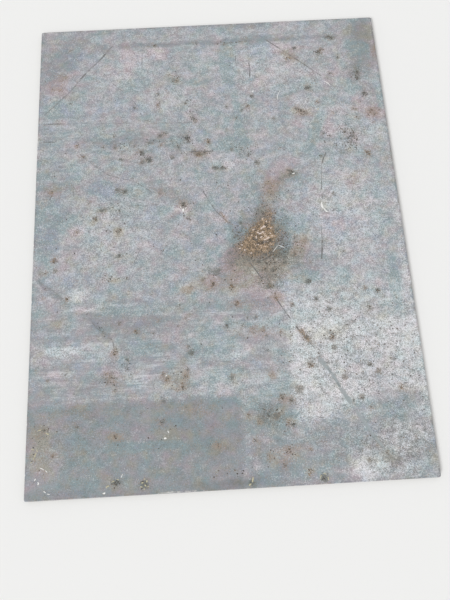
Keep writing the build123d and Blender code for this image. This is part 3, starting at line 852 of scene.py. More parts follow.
def edge_rows(shape):
    """The section of a sheared edge from the top face down, as rows (inset, height) and the name of
    each row's part. The rollover is a quarter ellipse, and the torn band leans in evenly and is
    hollowed by 4 t (1 - t), most at its middle."""
    width, depth = shape.rollover_width / MM, shape.rollover_depth / MM
    burnish_foot = THICKNESS - depth - shape.burnish_height / MM
    lean, hollow = shape.fracture_lean / MM, shape.fracture_hollow / MM
    flat = shape.underside_break / MM
    turn = np.radians([22.5, 45, 67.5, 90])
    rollover = np.stack([width * (1 - np.sin(turn)), THICKNESS - depth * (1 - np.cos(turn))], 1)
    burnish = np.array([[0, (THICKNESS - depth + burnish_foot) / 2], [0, burnish_foot]])
    share = np.arange(1, TORN_ROWS + 1) / TORN_ROWS
    torn_inset = lean * share + 4 * hollow * share * (1 - share)
    torn = np.stack([torn_inset, burnish_foot + (flat - burnish_foot) * share], 1)
    foot = np.array([[lean + flat, 0]])
    rows = np.concatenate([rollover, burnish, torn, foot])
    names = ["rollover"] * len(turn) + ["burnish", "burnish foot"] + ["torn"] * TORN_ROWS + ["foot"]
    return rows, names


def coarse_lines(steps, count):
    """For each line of the face's grid, the number of the underside's line that it joins."""
    return np.clip((np.arange(steps + 1) + UNDERSIDE_SHARE // 2) // UNDERSIDE_SHARE - 1, 0, count - 1)


def plate_skin(shape):
    """The whole skin of the plate: the face as a graded grid, the edge section carried round its
    border, and the underside as a coarse grid joined to the last ring. The face's relief fades to
    two fifths at the rim, nicks notch the rollover, and noise roughens each band of the edge."""
    radius, rollover = shape.corner_radius / MM, shape.rollover_width / MM
    half_x, half_y = WIDTH / 2 - rollover, LENGTH / 2 - rollover
    grid_x, grid_y = np.meshgrid(graded_lines(half_x, STEPS_ACROSS), graded_lines(half_y, STEPS_ALONG))
    grid_x, grid_y = round_corners(grid_x, grid_y, half_x, half_y, radius - rollover)
    index = np.arange(grid_x.size).reshape(grid_x.shape)
    face_x, face_y = grid_x.ravel(), grid_y.ravel()
    inside = smooth_step(0, 14, from_edge(face_x, face_y) - rollover)
    face_z = THICKNESS + face_height(shape, face_x, face_y) * (0.4 + 0.6 * inside)
    points = [np.stack([face_x, face_y, face_z], 1)]
    faces = [grid_quads(index)]
    slots = [np.zeros(len(faces[0]))]

    rim = border(index)
    rim_x, rim_y, rim_z = face_x[rim], face_y[rim], face_z[rim]
    core_x = np.clip(rim_x, radius - WIDTH / 2, WIDTH / 2 - radius)
    core_y = np.clip(rim_y, radius - LENGTH / 2, LENGTH / 2 - radius)
    out = np.stack([rim_x - core_x, rim_y - core_y], 1)
    out /= np.linalg.norm(out, axis=1)[:, None]
    along, zero = rim_x + rim_y, np.zeros(len(rim))
    drop = THICKNESS - rim_z
    wander = rough_noise(along, zero, cell=34, seed=51) * shape.tear_wander / MM
    nicks = smooth_step(0.45, 0.8, rough_noise(along, zero, cell=9, seed=57, octaves=3))
    nicks = nicks * shape.nick_depth / MM
    upper = rim
    for (inset, height), part in zip(*edge_rows(shape)):
        row = np.full(len(rim), inset)
        z = np.full(len(rim), height)
        if part == "rollover":
            row = row + nicks * (1 - inset / rollover)
            z = z - drop * (inset / rollover) - 0.3 * nicks
        if part.startswith("burnish"):
            row = row + BURNISH_ROUGHNESS * (1 + rough_noise(along, z, cell=3, seed=61))
        if part == "burnish foot":
            z = z + wander
        if part == "torn":
            foot_share = (height - shape.underside_break / MM) / THICKNESS
            grain = rough_noise(along, z * 2.5, cell=6, seed=63)
            row = row + shape.tear_depth / MM * (0.5 + 0.5 * grain)
            z = z + wander * foot_share
        if part == "foot":
            row = row + FOOT_ROUGHNESS * (1 + rough_noise(along, z, cell=8, seed=67))
        ring = len(np.concatenate(points)) + np.arange(len(rim))
        place = np.stack([core_x, core_y], 1) + out * (radius - row)[:, None]
        points.append(np.column_stack([place, z]))
        faces.append(ring_quads(upper, ring))
        slots.append(np.full(len(rim), 0 if part == "rollover" else 1))
        upper = ring

    coarse = index[UNDERSIDE_SHARE:-1:UNDERSIDE_SHARE, UNDERSIDE_SHARE:-1:UNDERSIDE_SHARE]
    under = len(np.concatenate(points)) + np.arange(coarse.size).reshape(coarse.shape)
    flat = coarse.ravel()
    points.append(np.column_stack([face_x[flat], face_y[flat], np.zeros(flat.size)]))
    faces.append(grid_quads(under)[:, ::-1])
    line, column = coarse_lines(STEPS_ALONG, len(coarse)), coarse_lines(STEPS_ACROSS, len(coarse[0]))
    quads = ring_quads(upper, border(under[np.ix_(line, column)]))
    steps = quads[:, 1] != quads[:, 2]
    faces.append(quads[steps])
    triangles = quads[~steps][:, [0, 1, 3]]
    slots += [np.zeros(len(faces[-2])), np.zeros(len(faces[-1])), np.zeros(len(triangles))]
    all_faces = np.concatenate(faces).tolist() + triangles.tolist()
    return np.concatenate(points), all_faces, np.concatenate(slots)


def outline_radius(angle, radius, ragged, seed):
    """A ragged outline: the radius times 1 plus four waves of random height and turn."""
    random = np.random.default_rng(seed)
    waves = np.arange(2, 6)
    heights = random.uniform(-1, 1, (len(radius), len(waves))) * ragged / waves
    turns = random.uniform(0, 2 * np.pi, (len(radius), len(waves)))
    swell = (heights[:, :, None] * np.sin(waves[None, :, None] * angle + turns[:, :, None])).sum(1)
    return radius[:, None] * (1 + swell)


def lens_points(middle_x, middle_y, radii, rings):
    """Rings of points round each middle, from the middle out to the radii at each angle.
    Returns x, y and the share of the radius, each as (lens, ring, step)."""
    steps = radii.shape[1]
    angle = np.linspace(0, 2 * np.pi, steps, endpoint=False)
    share = np.linspace(0, 1, rings + 1)
    reach = share[None, :, None] * radii[:, None, :]
    x = middle_x[:, None, None] + reach * np.cos(angle)
    y = middle_y[:, None, None] + reach * np.sin(angle)
    return x, y, np.broadcast_to(share[None, :, None], x.shape)


def lens_faces(lenses, rings, steps):
    """Closes each lens: quads between its rings, a fan at its middle and a flat fan underneath."""
    size = rings * steps + 2
    first = np.arange(lenses)[:, None] * size
    top, bottom = first, first + size - 1
    ring = first[:, :, None] + 1 + np.arange(rings * steps).reshape(1, rings, steps)
    turn = np.roll(ring, -1, 2)
    quads = np.stack([ring[:, :-1], ring[:, 1:], turn[:, 1:], turn[:, :-1]], -1).reshape(-1, 4)
    inner, inner_turn = ring[:, 0], turn[:, 0]
    outer, outer_turn = ring[:, -1], turn[:, -1]
    fan = np.stack([np.broadcast_to(top, inner.shape), inner, inner_turn], -1).reshape(-1, 3)
    under = np.stack([np.broadcast_to(bottom, outer.shape), outer_turn, outer], -1).reshape(-1, 3)
    return quads.tolist() + fan.tolist() + under.tolist()


def lens_flat(values):
    """One value for each point of the lenses: the middle, the rings outwards, and the middle below."""
    middle = values[:, 0, :1]
    return np.concatenate([middle, values[:, 1:].reshape(len(values), -1), middle], 1).ravel()


def lens_mesh(x, y, z, sink):
    """Points and faces of closed lenses from their grids of heights. The middle
    underneath lies sink below the one on top."""
    lenses, rings, steps = x.shape[0], x.shape[1] - 1, x.shape[2]
    flat = np.stack([lens_flat(part) for part in (x, y, z)], 1)
    size = rings * steps + 2
    flat[size - 1 :: size, 2] -= sink
    return flat, lens_faces(lenses, rings, steps)


def crumb_cluster(shape, places, shades, seed):
    """Low ragged crumbs of rust, as (x, y, radius) rows with a shade each. Their domes rise as
    1 - r^2 over the face and their rims dip into it."""
    angle = np.linspace(0, 2 * np.pi, CRUMB_STEPS, endpoint=False)[None, None, :]
    radii = outline_radius(angle, places[:, 2], ragged=0.7, seed=seed)
    x, y, share = lens_points(places[:, 0], places[:, 1], radii, rings=2)
    rise = shape.spot_height / MM * np.clip(places[:, 2] / 1.6, 0.4, 1.3)[:, None, None]
    lumps = 1 + 0.4 * rough_noise(x, y, cell=1.7, seed=seed + 1, octaves=2)
    z = THICKNESS + face_height(shape, x, y) + rise * (1 - share**2) * lumps - 0.03 * share
    points, faces = lens_mesh(x, y, z, sink=0.3)
    fields = face_fields(points[:, 0], points[:, 1])
    fields["rust"] = lens_flat(np.broadcast_to(0.95 - 0.6 * share, x.shape))
    fields["shade"] = lens_flat(np.broadcast_to(shades[:, None, None], x.shape))
    return points, faces, fields


def scattered(patches, sizes, seed):
    """Random places about each patch, as many as its amount, as rows (x, y, radius). They are spread
    normally, by 0.6 of the patch's reach."""
    random = np.random.default_rng(seed)
    rows = np.repeat(np.array(patches, float), [int(patch.amount) for patch in patches], axis=0)
    offset = random.normal(0, 0.6, (len(rows), 2)) * rows[:, 2:4]
    across, along = turned(offset[:, 0], offset[:, 1], rows[:, 4])
    x = np.clip(rows[:, 0] + across, CRUMB_MARGIN - WIDTH / 2, WIDTH / 2 - CRUMB_MARGIN)
    y = np.clip(rows[:, 1] + along, CRUMB_MARGIN - LENGTH / 2, LENGTH / 2 - CRUMB_MARGIN)
    return np.column_stack([x, y, random.uniform(*sizes, len(rows))])


def swept_ribbon(path, half, across, spacing):
    """Lines along a path, at the given shares of the half width across it. A running mean over a
    fifth of the path rounds its corners, and the ribbon narrows to its ends as sqrt(1 - t^8)."""
    path = np.array(path, float)
    chord = np.concatenate([[0], np.cumsum(np.hypot(*np.diff(path, axis=0).T))])
    count = max(int(chord[-1] / spacing), 8)
    t = np.linspace(0, chord[-1], count)
    line = np.stack([np.interp(t, chord, path[:, 0]), np.interp(t, chord, path[:, 1])], 1)
    kernel = np.ones(max(count // 10, 1) * 2 + 1)
    kernel /= kernel.sum()
    padded = np.pad(line, ((len(kernel) // 2,) * 2, (0, 0)), mode="reflect", reflect_type="odd")
    line = np.stack([np.convolve(padded[:, axis], kernel, mode="valid") for axis in (0, 1)], 1)
    way = np.gradient(line, axis=0)
    way /= np.linalg.norm(way, axis=1)[:, None]
    taper = np.sqrt(np.clip(1 - np.linspace(-1, 1, count) ** 8, 0.0025, 1))
    ragged = 1 + 0.22 * rough_noise(t, np.zeros(count), cell=5, seed=71)
    reach = across[None, :] * (half * taper * ragged)[:, None]
    x = line[:, :1] - way[:, 1:] * reach
    y = line[:, 1:] + way[:, :1] * reach
    return x, y, taper


def ribbon_faces(count, loop, first):
    """Quads round a closed section of loop points carried through count places, and a cap at each end."""
    index = first + np.arange(count * loop).reshape(count, loop)
    turn = np.roll(index, -1, 1)
    quads = np.stack([index[:-1], index[1:], turn[1:], turn[:-1]], -1).reshape(-1, 4)
    return quads.tolist() + [index[0].tolist(), index[-1, ::-1].tolist()]


# Shader effects as node groups


class Tree:
    """Adds nodes to one node tree. A setting is a node's own property, and an input is a value or a
    socket to link."""

    def __init__(self, tree):
        self.tree = tree

    def add(self, kind, inputs=None, **settings):
        """A node of that kind, with its settings and inputs."""
        node = self.tree.nodes.new(kind)
        for name, value in settings.items():
            setattr(node, name, value)
        for name, value in (inputs or {}).items():
            self.feed(node.inputs[name], value)
        return node

    def feed(self, socket, value):
        """Links the value to the socket if it is a socket too, and else writes it there."""
        if isinstance(value, bpy.types.NodeSocket):
            self.tree.links.new(value, socket)
        else:
            socket.default_value = value

    def math(self, operation, *values, clamp=False):
        """One operation on the values, held between 0 and 1 where clamp is set."""
        inputs = dict(enumerate(values))
        return self.add("ShaderNodeMath", inputs, operation=operation, use_clamp=clamp).outputs[0]

    def product(self, *factors):
        """The factors multiplied one after the other."""
        result = factors[0]
        for factor in factors[1:]:
            result = self.math("MULTIPLY", result, factor)
        return result

    def total(self, *terms, clamp=False):
        """The terms added one after the other. A term is a value or a tuple of factors."""
        values = [self.product(*term) if isinstance(term, tuple) else term for term in terms]
        result = values[0]
        for value in values[1:-1]:
            result = self.math("ADD", result, value)
        return self.math("ADD", result, values[-1], clamp=clamp)

    def mix(self, factor, a, b):
        """The colour a, or b where the factor is 1."""
        node = self.add("ShaderNodeMix", data_type="RGBA", clamp_factor=True)
        for socket, value in zip((node.inputs[0], node.inputs[6], node.inputs[7]), (factor, a, b)):
            self.feed(socket, value)
        return node.outputs[2]

    def scaled(self, vector, amount):
        """The vector or colour times the amount."""
        inputs = {0: vector, "Scale": amount}
        return self.add("ShaderNodeVectorMath", inputs, operation="SCALE").outputs[0]

    def ramp(self, value, low, high):
        """0 at low, 1 at high, and 3 t^2 - 2 t^3 between them. Low may be the larger."""
        inputs = {0: value, 1: low, 2: high, 3: 0.0, 4: 1.0}
        return self.add("ShaderNodeMapRange", inputs, interpolation_type="SMOOTHSTEP").outputs[0]

    def noise(self, vector, size, detail=2.0, roughness=0.55):
        """Noise about 0, from -0.5 to 0.5, with features of that size."""
        inputs = {"Vector": vector, "Scale": 1.0 / size, "Detail": detail, "Roughness": roughness}
        return self.math("SUBTRACT", self.add("ShaderNodeTexNoise", inputs).outputs[0], 0.5)

    def stretched(self, vector, x, y, z=1.0):
        """The vector with each axis divided by its stretch."""
        inputs = {"Vector": vector, "Scale": (1.0 / x, 1.0 / y, 1.0 / z)}
        return self.add("ShaderNodeMapping", inputs).outputs[0]

    def shifted(self, vector, distance):
        """The vector moved by that distance along X and Y."""
        inputs = {"Vector": vector, "Location": (distance, distance, 0.0)}
        return self.add("ShaderNodeMapping", inputs).outputs[0]

    def field(self, name):
        """The attribute of that name on the mesh."""
        return self.add("ShaderNodeAttribute", attribute_name=name).outputs["Fac"]

    def group(self, name, **inputs):
        """The outputs of the effect of that name with its inputs."""
        return self.add("ShaderNodeGroup", inputs, node_tree=effect(name)).outputs

    def millimetres(self):
        """Object coordinates in millimetres."""
        place = self.add("ShaderNodeTexCoord").outputs["Object"]
        return self.stretched(place, MM, MM, MM)

    def bump(self, height, distance):
        """The normal of a surface that stands out by height times distance."""
        inputs = {"Height": height, "Strength": 1.0, "Distance": distance}
        return self.add("ShaderNodeBump", inputs).outputs[0]


def new_group(name, inputs, outputs):
    """An empty shader group with its sockets. Returns its tree, its inputs and its output node."""
    group = bpy.data.node_groups.new(name, "ShaderNodeTree")
    for label, kind, default in inputs:
        socket = group.interface.new_socket(name=label, in_out="INPUT", socket_type="NodeSocket" + kind)
        if default is not None:
            socket.default_value = default
    for label, kind in outputs:
        group.interface.new_socket(name=label, in_out="OUTPUT", socket_type="NodeSocket" + kind)
    tree = Tree(group)
    return tree, tree.add("NodeGroupInput").outputs, tree.add("NodeGroupOutput")


def mottle_group(name):
    """Mill scale: a teal and a lilac tone mixed by clouds, tinged blue or dusty by other clouds, then
    lightened and darkened by clouds, streaks along X where the face was dragged, and a fine grain."""
    tree, given, end = new_group(
        name,
        [
            ("Vector", "Vector", None), ("Tone", "Float", 0.0), ("Tint", "Float", 0.0),
            ("Cast", "Float", 0.0), ("Teal", "Color", (0.3, 0.4, 0.4, 1)),
            ("Lilac", "Color", (0.4, 0.4, 0.4, 1)), ("Blue", "Color", (0.3, 0.3, 0.4, 1)),
            ("Dust", "Color", (0.4, 0.4, 0.3, 1)), ("Cloud", "Float", 0.3), ("Streak", "Float", 0.2),
            ("Grain", "Float", 0.5),
        ],
        [("Color", "Color"), ("Grain", "Float")],
    )
    place = given["Vector"]
    cloud = tree.noise(place, size=34.0, detail=4.0, roughness=0.85)
    streak = tree.noise(tree.stretched(place, 16.0, 1.0), size=4.0, detail=4.0, roughness=0.7)
    grain = tree.noise(place, size=2.3, roughness=0.6)
    tint_cloud = tree.noise(tree.stretched(place, 1.2, 1.0), size=27.0, detail=1.5, roughness=0.8)
    cast_cloud = tree.noise(tree.shifted(place, 530.0), size=25.0, detail=1.5, roughness=0.8)
    tint = tree.total((tint_cloud, 2.3), (given["Tint"], 0.62), 0.44, clamp=True)
    cast = tree.total((cast_cloud, 3.4), (given["Cast"], 0.7))
    tone = tree.total(
        given["Tone"], 1.0, (cloud, given["Cloud"]), (streak, given["Streak"]), (grain, given["Grain"])
    )
    mixed = tree.mix(tint, given["Teal"], given["Lilac"])
    mixed = tree.mix(tree.ramp(cast, 0.0, 1.2), mixed, given["Blue"])
    mixed = tree.mix(tree.ramp(cast, 0.0, -1.2), mixed, given["Dust"])
    tree.feed(end.inputs["Color"], tree.scaled(mixed, tone))
    tree.feed(end.inputs["Grain"], grain)


def broken_film_group(name):
    """A broken film that covers about the share Cover of the surface. It is left where the sum of a
    fine and a broad noise rises over 1 - Cover. Drag turns the noise into streaks along X, and Seed
    moves it along, so that two films differ."""
    tree, given, end = new_group(
        name,
        [
            ("Vector", "Vector", None), ("Cover", "Float", 0.5), ("Size", "Float", 2.0),
            ("Drag", "Float", 0.0), ("Soft", "Float", 0.2), ("Seed", "Float", 0.0),
        ],
        [("Mask", "Float")],
    )
    shift = {0: given["Seed"], 1: (371.0, 617.0, 0.0), 2: given["Vector"]}
    moved = tree.add("ShaderNodeVectorMath", shift, operation="MULTIPLY_ADD").outputs[0]
    place = tree.add("ShaderNodeVectorMath", {0: moved, 1: given["Size"]}, operation="DIVIDE").outputs[0]
    fine = tree.noise(place, size=1.0, roughness=0.6)
    broad = tree.noise(tree.stretched(place, 1.3, 1.0), size=6.5, detail=3.0, roughness=0.8)
    streak = tree.noise(tree.stretched(place, 9.0, 1.0), size=3.2, detail=5.0, roughness=0.75)
    crumbly = tree.total((fine, 2.8), (broad, 1.7))
    kept = tree.math("SUBTRACT", 1.0, given["Drag"])
    height = tree.total((crumbly, kept), (streak, 3.6, given["Drag"]), 0.5)
    level = tree.math("SUBTRACT", 1.0, given["Cover"])
    low = tree.math("SUBTRACT", level, given["Soft"])
    high = tree.math("ADD", level, given["Soft"])
    tree.feed(end.inputs["Mask"], tree.ramp(height, low, high))


def rust_group(name):
    """Rust from black through brown and tan to pale flakes, by Shade and noise at two sizes. Mask is
    where the noise lets the rust through, and Relief its crumbly height."""
    tree, given, end = new_group(
        name,
        [
            ("Vector", "Vector", None), ("Cover", "Float", 0.0), ("Shade", "Float", 0.4),
            ("Black", "Color", (0, 0, 0, 1)), ("Brown", "Color", (0.2, 0.1, 0.1, 1)),
            ("Tan", "Color", (0.4, 0.2, 0.1, 1)), ("Flake", "Color", (0.6, 0.5, 0.4, 1)),
        ],
        [("Color", "Color"), ("Mask", "Float"), ("Relief", "Float")],
    )
    place = given["Vector"]
    coarse = tree.noise(place, size=8.0, roughness=0.6)
    fine = tree.noise(tree.shifted(place, 90.0), size=1.6, roughness=0.6)
    crumbs = tree.noise(place, size=0.7, detail=1.0)
    gaps = tree.noise(tree.shifted(place, 270.0), size=2.0, roughness=0.6)
    level = tree.total(given["Shade"], (coarse, 0.7), (fine, 3.0))
    low = tree.mix(tree.ramp(level, -0.1, 0.25), given["Black"], given["Brown"])
    middle = tree.mix(tree.ramp(level, 0.32, 0.68), low, given["Tan"])
    tree.feed(end.inputs["Color"], tree.mix(tree.ramp(level, 0.70, 1.05), middle, given["Flake"]))
    edge = tree.total(given["Cover"], (gaps, 2.6), (coarse, 0.8))
    tree.feed(end.inputs["Mask"], tree.ramp(edge, 0.32, 0.62))
    tree.feed(end.inputs["Relief"], tree.total(fine, (crumbs, 0.5)))


def wear_group(name):
    """Metal worn bright where Worn is high, broken up by noise at two sizes. Along the arris it is partly a
    painted glint.
    """
    tree, given, end = new_group(
        name, [("Vector", "Vector", None), ("Worn", "Float", 0.0)], [("Mask", "Float")]
    )
    breaks = tree.noise(given["Vector"], size=7.0, detail=3.0, roughness=0.7)
    nibbles = tree.noise(given["Vector"], size=1.3, roughness=0.6)
    level = tree.total(given["Worn"], (breaks, 1.9), (nibbles, 0.5))
    tree.feed(end.inputs["Mask"], tree.ramp(level, 0.38, 0.85))


EFFECTS = {
    "plate_mottle": mottle_group,
    "plate_film": broken_film_group,
    "plate_rust": rust_group,
    "plate_wear_and_glint": wear_group,
}


def effect(name):
    """The shader group of that name, built at its first use."""
    if name not in bpy.data.node_groups:
        EFFECTS[name](name)
    return bpy.data.node_groups[name]


def new_material(name):
    """A material with only its Principled BSDF and output. Returns it, its tree and the shader node."""
    material = bpy.data.materials.new(name)
    material.use_nodes = True
    material.node_tree.nodes.clear()
    tree = Tree(material.node_tree)
    shader = tree.add("ShaderNodeBsdfPrincipled")
    tree.add("ShaderNodeOutputMaterial", {0: shader.outputs[0]})
    return material, tree, shader


def opaque(rgb):
    """The colour as red, green, blue and an alpha of 1."""
    return (*rgb, 1.0)


def rust_colours(finish):
    """The four colours of the rust effect."""
    return {
        "Black": opaque(finish.rust_black), "Brown": opaque(finish.rust_brown),
        "Tan": opaque(finish.rust_tan), "Flake": opaque(finish.rust_flake),
    }


def finish_material(finish):
    """Mill scale with bloom, stains, soot and painted shadow, pits, scrapes, scratches, rust, and worn metal
    with a painted glint on the arris, laid over each other in that order. The face's attributes say where
    each of them is."""
    material = bpy.data.materials.get("mill_scale")
    if material:
        return material
    material, tree, shader = new_material("mill_scale")
    place = tree.millimetres()
    drag, freckle, groove = tree.field("drag"), tree.field("freckle"), tree.field("groove")
    light = tree.field("light")
    brighter, darker = tree.math("MAXIMUM", light, 0.0), tree.math("MINIMUM", light, 0.0)
    mottle = tree.group(
        "plate_mottle", Vector=place, Tone=tree.total((brighter, 0.10), (darker, 0.60)),
        Tint=tree.field("tint"), Cast=tree.field("cast"),
        Teal=opaque(finish.teal_scale), Lilac=opaque(finish.lilac_scale),
        Blue=opaque(finish.blue_scale), Dust=opaque(finish.dusty_scale),
        Cloud=0.48, Streak=tree.product(drag, 0.35),
        Grain=tree.total((brighter, 3.4), (darker, 0.2), (freckle, 2.2), 0.66),
    )
    cover = tree.total((brighter, 1.1), (darker, 1.3), 0.42)
    film = tree.group("plate_film", Vector=place, Cover=cover, Size=2.1, Drag=drag, Soft=0.24)["Mask"]
    cover = tree.product(tree.field("stain"), 0.85)
    stain = tree.group("plate_film", Vector=place, Cover=cover, Size=2.4, Soft=0.45, Seed=3.0)["Mask"]
    cover = tree.field("soot")
    soot = tree.group("plate_film", Vector=place, Cover=cover, Size=1.7, Soft=0.22, Seed=7.0)["Mask"]
    cover = tree.total((freckle, 0.60), 0.07, (brighter, 0.42))
    pits = tree.group("plate_film", Vector=place, Cover=cover, Size=1.0, Soft=0.2, Seed=11.0)["Mask"]
    rust = tree.group(
        "plate_rust", Vector=place, Cover=tree.field("rust"), Shade=tree.field("shade"),
        **rust_colours(finish),
    )
    # Worn bright metal on the arris, partly a painted glint
    worn = tree.group("plate_wear_and_glint", Vector=place, Worn=tree.field("arris"))["Mask"]

    speckled = tree.product(groove, tree.total((mottle["Grain"], 2.0), 1.0))
    scrape = tree.ramp(speckled, -0.10, -0.75)
    furrow = tree.ramp(speckled, 0.10, 0.80)
    film = tree.product(film, tree.math("SUBTRACT", 1.0, scrape))
    strength = tree.total((brighter, 1.4), 0.50, clamp=True)
    bloom = tree.mix(0.42, opaque(finish.chalk), tree.scaled(mottle["Color"], 2.0))
    shown = tree.mix(tree.product(film, strength), mottle["Color"], bloom)
    layers = (
        (stain, 0.60, finish.stain), (soot, 0.75, finish.soot), (pits, 0.95, finish.pit),
        (scrape, 0.8, finish.scrape), (furrow, 1.0, finish.furrow),
    )
    for mask, amount, layer in layers:
        shown = tree.mix(tree.product(mask, amount), shown, opaque(layer))
    shown = tree.mix(rust["Mask"], shown, rust["Color"])
    tree.feed(shader.inputs["Base Color"], tree.mix(worn, shown, opaque(finish.bright_steel_and_glint)))

    dull = tree.math("MAXIMUM", tree.product(film, 0.9), rust["Mask"])
    dull = tree.math("MAXIMUM", dull, tree.product(soot, 0.9))
    rough = tree.total((mottle["Grain"], 0.25), 0.50, (dull, 0.32), (worn, -0.18), clamp=True)
    tree.feed(shader.inputs["Roughness"], rough)
    metal = tree.product(tree.math("SUBTRACT", 1.0, dull), 0.30)
    tree.feed(shader.inputs["Metallic"], tree.math("MAXIMUM", metal, tree.product(worn, 0.85)))
    height = tree.total(
        (mottle["Grain"], 0.06), (film, 0.02), (pits, -0.08), (rust["Mask"], rust["Relief"], 0.6),
        (furrow, -0.05),
    )
    tree.feed(shader.inputs["Normal"], tree.bump(height, MM))
    return material


def sheared_material(finish):
    """The sheared edge: a polished band scored upright above a torn and rusted band. The pattern
    runs on X + Y, which goes on evenly round the plate, and on the height."""
    material, tree, shader = new_material("sheared_edge")
    place = tree.millimetres()
    parts = tree.add("ShaderNodeSeparateXYZ", {0: place}).outputs
    along = tree.total(parts[0], parts[1])
    edge_place = tree.add("ShaderNodeCombineXYZ", {0: along, 1: parts[2]}).outputs[0]
    scores = tree.noise(tree.stretched(edge_place, 1.0, 14.0), size=0.5, detail=3.0, roughness=0.7)
    wander = tree.noise(tree.stretched(edge_place, 1.0, 40.0), size=24.0, detail=3.0, roughness=0.6)
    tear = tree.noise(tree.stretched(edge_place, 1.0, 0.7), size=1.1, detail=3.0, roughness=0.7)
    torn = tree.ramp(tree.total(parts[2], (wander, 1.6)), 6.7, 6.1)
    band = tree.mix(torn, opaque(finish.burnished), opaque(finish.torn))
    band = tree.scaled(band, tree.total((scores, 0.5), (tear, torn, 0.9), 1.0))
    rust = tree.group(
        "plate_rust", Vector=tree.stretched(place, 0.6, 0.6, 0.6), Shade=0.04,
        Cover=tree.total((torn, 0.26), (tree.noise(place, size=16.0, detail=3.0), 1.1)),
        **rust_colours(finish),
    )
    # Worn bright metal on the arris, partly a painted glint
    worn = tree.group("plate_wear_and_glint", Vector=place, Worn=tree.field("arris"))["Mask"]
    shown = tree.mix(tree.product(rust["Mask"], 0.85), band, rust["Color"])
    shown = tree.mix(tree.product(worn, 0.8), shown, opaque(finish.bright_steel_and_glint))
    tree.feed(shader.inputs["Base Color"], shown)
    rough = tree.math("MULTIPLY_ADD", torn, 0.35, 0.38)
    tree.feed(shader.inputs["Roughness"], tree.total(rough, (rust["Mask"], 0.2), clamp=True))
    bare = tree.math("SUBTRACT", 1.0, rust["Mask"])
    tree.feed(shader.inputs["Metallic"], tree.product(bare, 0.75))
    height = tree.total((scores, 0.06), (tear, torn, 0.35), (rust["Mask"], rust["Relief"], 0.2))
    tree.feed(shader.inputs["Normal"], tree.bump(height, MM))
    return material


def bit_material(name, rgb, roughness):
    """A loose bit: its colour lightened and darkened by fine noise."""
    material, tree, shader = new_material(name)
    place = tree.millimetres()
    tone = tree.total((tree.noise(place, size=2.0, detail=3.0, roughness=0.7), 0.9), 0.95)
    tree.feed(shader.inputs["Base Color"], tree.scaled(tuple(rgb), tone))
    shader.inputs["Roughness"].default_value = roughness
    tree.feed(shader.inputs["Normal"], tree.bump(tree.noise(place, size=0.8), 0.1 * MM))
    return material


# Operators


def shape_and_finish(context):
    """The properties that every piece is made from."""
    return context.scene.steel_plate_shape, context.scene.steel_plate_finish


class STEELPLATE_OT_skin(bpy.types.Operator):
    """Makes the plate itself, with its worn face, sheared edges and underside"""

    bl_idname = "steel_plate.skin"
    bl_label = "Plate"

    def execute(self, context):
        shape, finish = shape_and_finish(context)
        points, faces, slots = plate_skin(shape)
        fields = self.fields(*points.T)
        materials = [finish_material(finish), sheared_material(finish)]
        piece = write_piece("steel_plate", points, faces, fields, materials, slots=slots, sharp=40)
        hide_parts("plate")
        return {"FINISHED"}

    def fields(self, x, y, z):
        """The fields of the face, with damp rust on the underside, a soiled rim, and a pale line of worn
        metal and painted glint. The line lies on the arris, and further in where the metal is worn bright
        and the glint is painted."""
        on_face = z > THICKNESS / 2
        damp = smooth_step(0.0, 0.7, rough_noise(x, y, cell=130, seed=81))
        below = {"stain": 0.7 * damp, "rust": 0.45 * damp, "shade": np.full(len(x), 0.42)}
        fields = face_fields(x, y)
        for name, values in fields.items():
            fields[name] = np.where(on_face, values, below.get(name, 0))
        inset = from_edge(x, y)
        rim = (1 - smooth_step(1.5, 5.0, inset)) * on_face
        fields["light"] += rim * (0.35 * rough_noise(x, y, cell=11, seed=83) - 0.12)
        fields["stain"] += rim * 0.35 * smooth_step(-0.2, 0.5, rough_noise(x, y, cell=24, seed=85))
        fields["soot"] += rim * 0.2 * smooth_step(0.0, 0.6, rough_noise(x, y, cell=15, seed=87))
        # The pale line is partly worn metal and partly a painted glint on the arris
        bright = patch_sum(BRIGHT_WEAR_AND_GLINT_PATCHES, x, y)
        start = 0.2 + 1.9 * bright
        end = start + 1.4 + 0.9 * bright
        line = (1 - smooth_step(start, end, inset)) * (z > THICKNESS - 1.3)
        line *= 1 - bright * (1 - smooth_step(0.5, 1.6, inset))
        fields["arris"] = line * (0.12 + 0.66 * bright)
        return fields


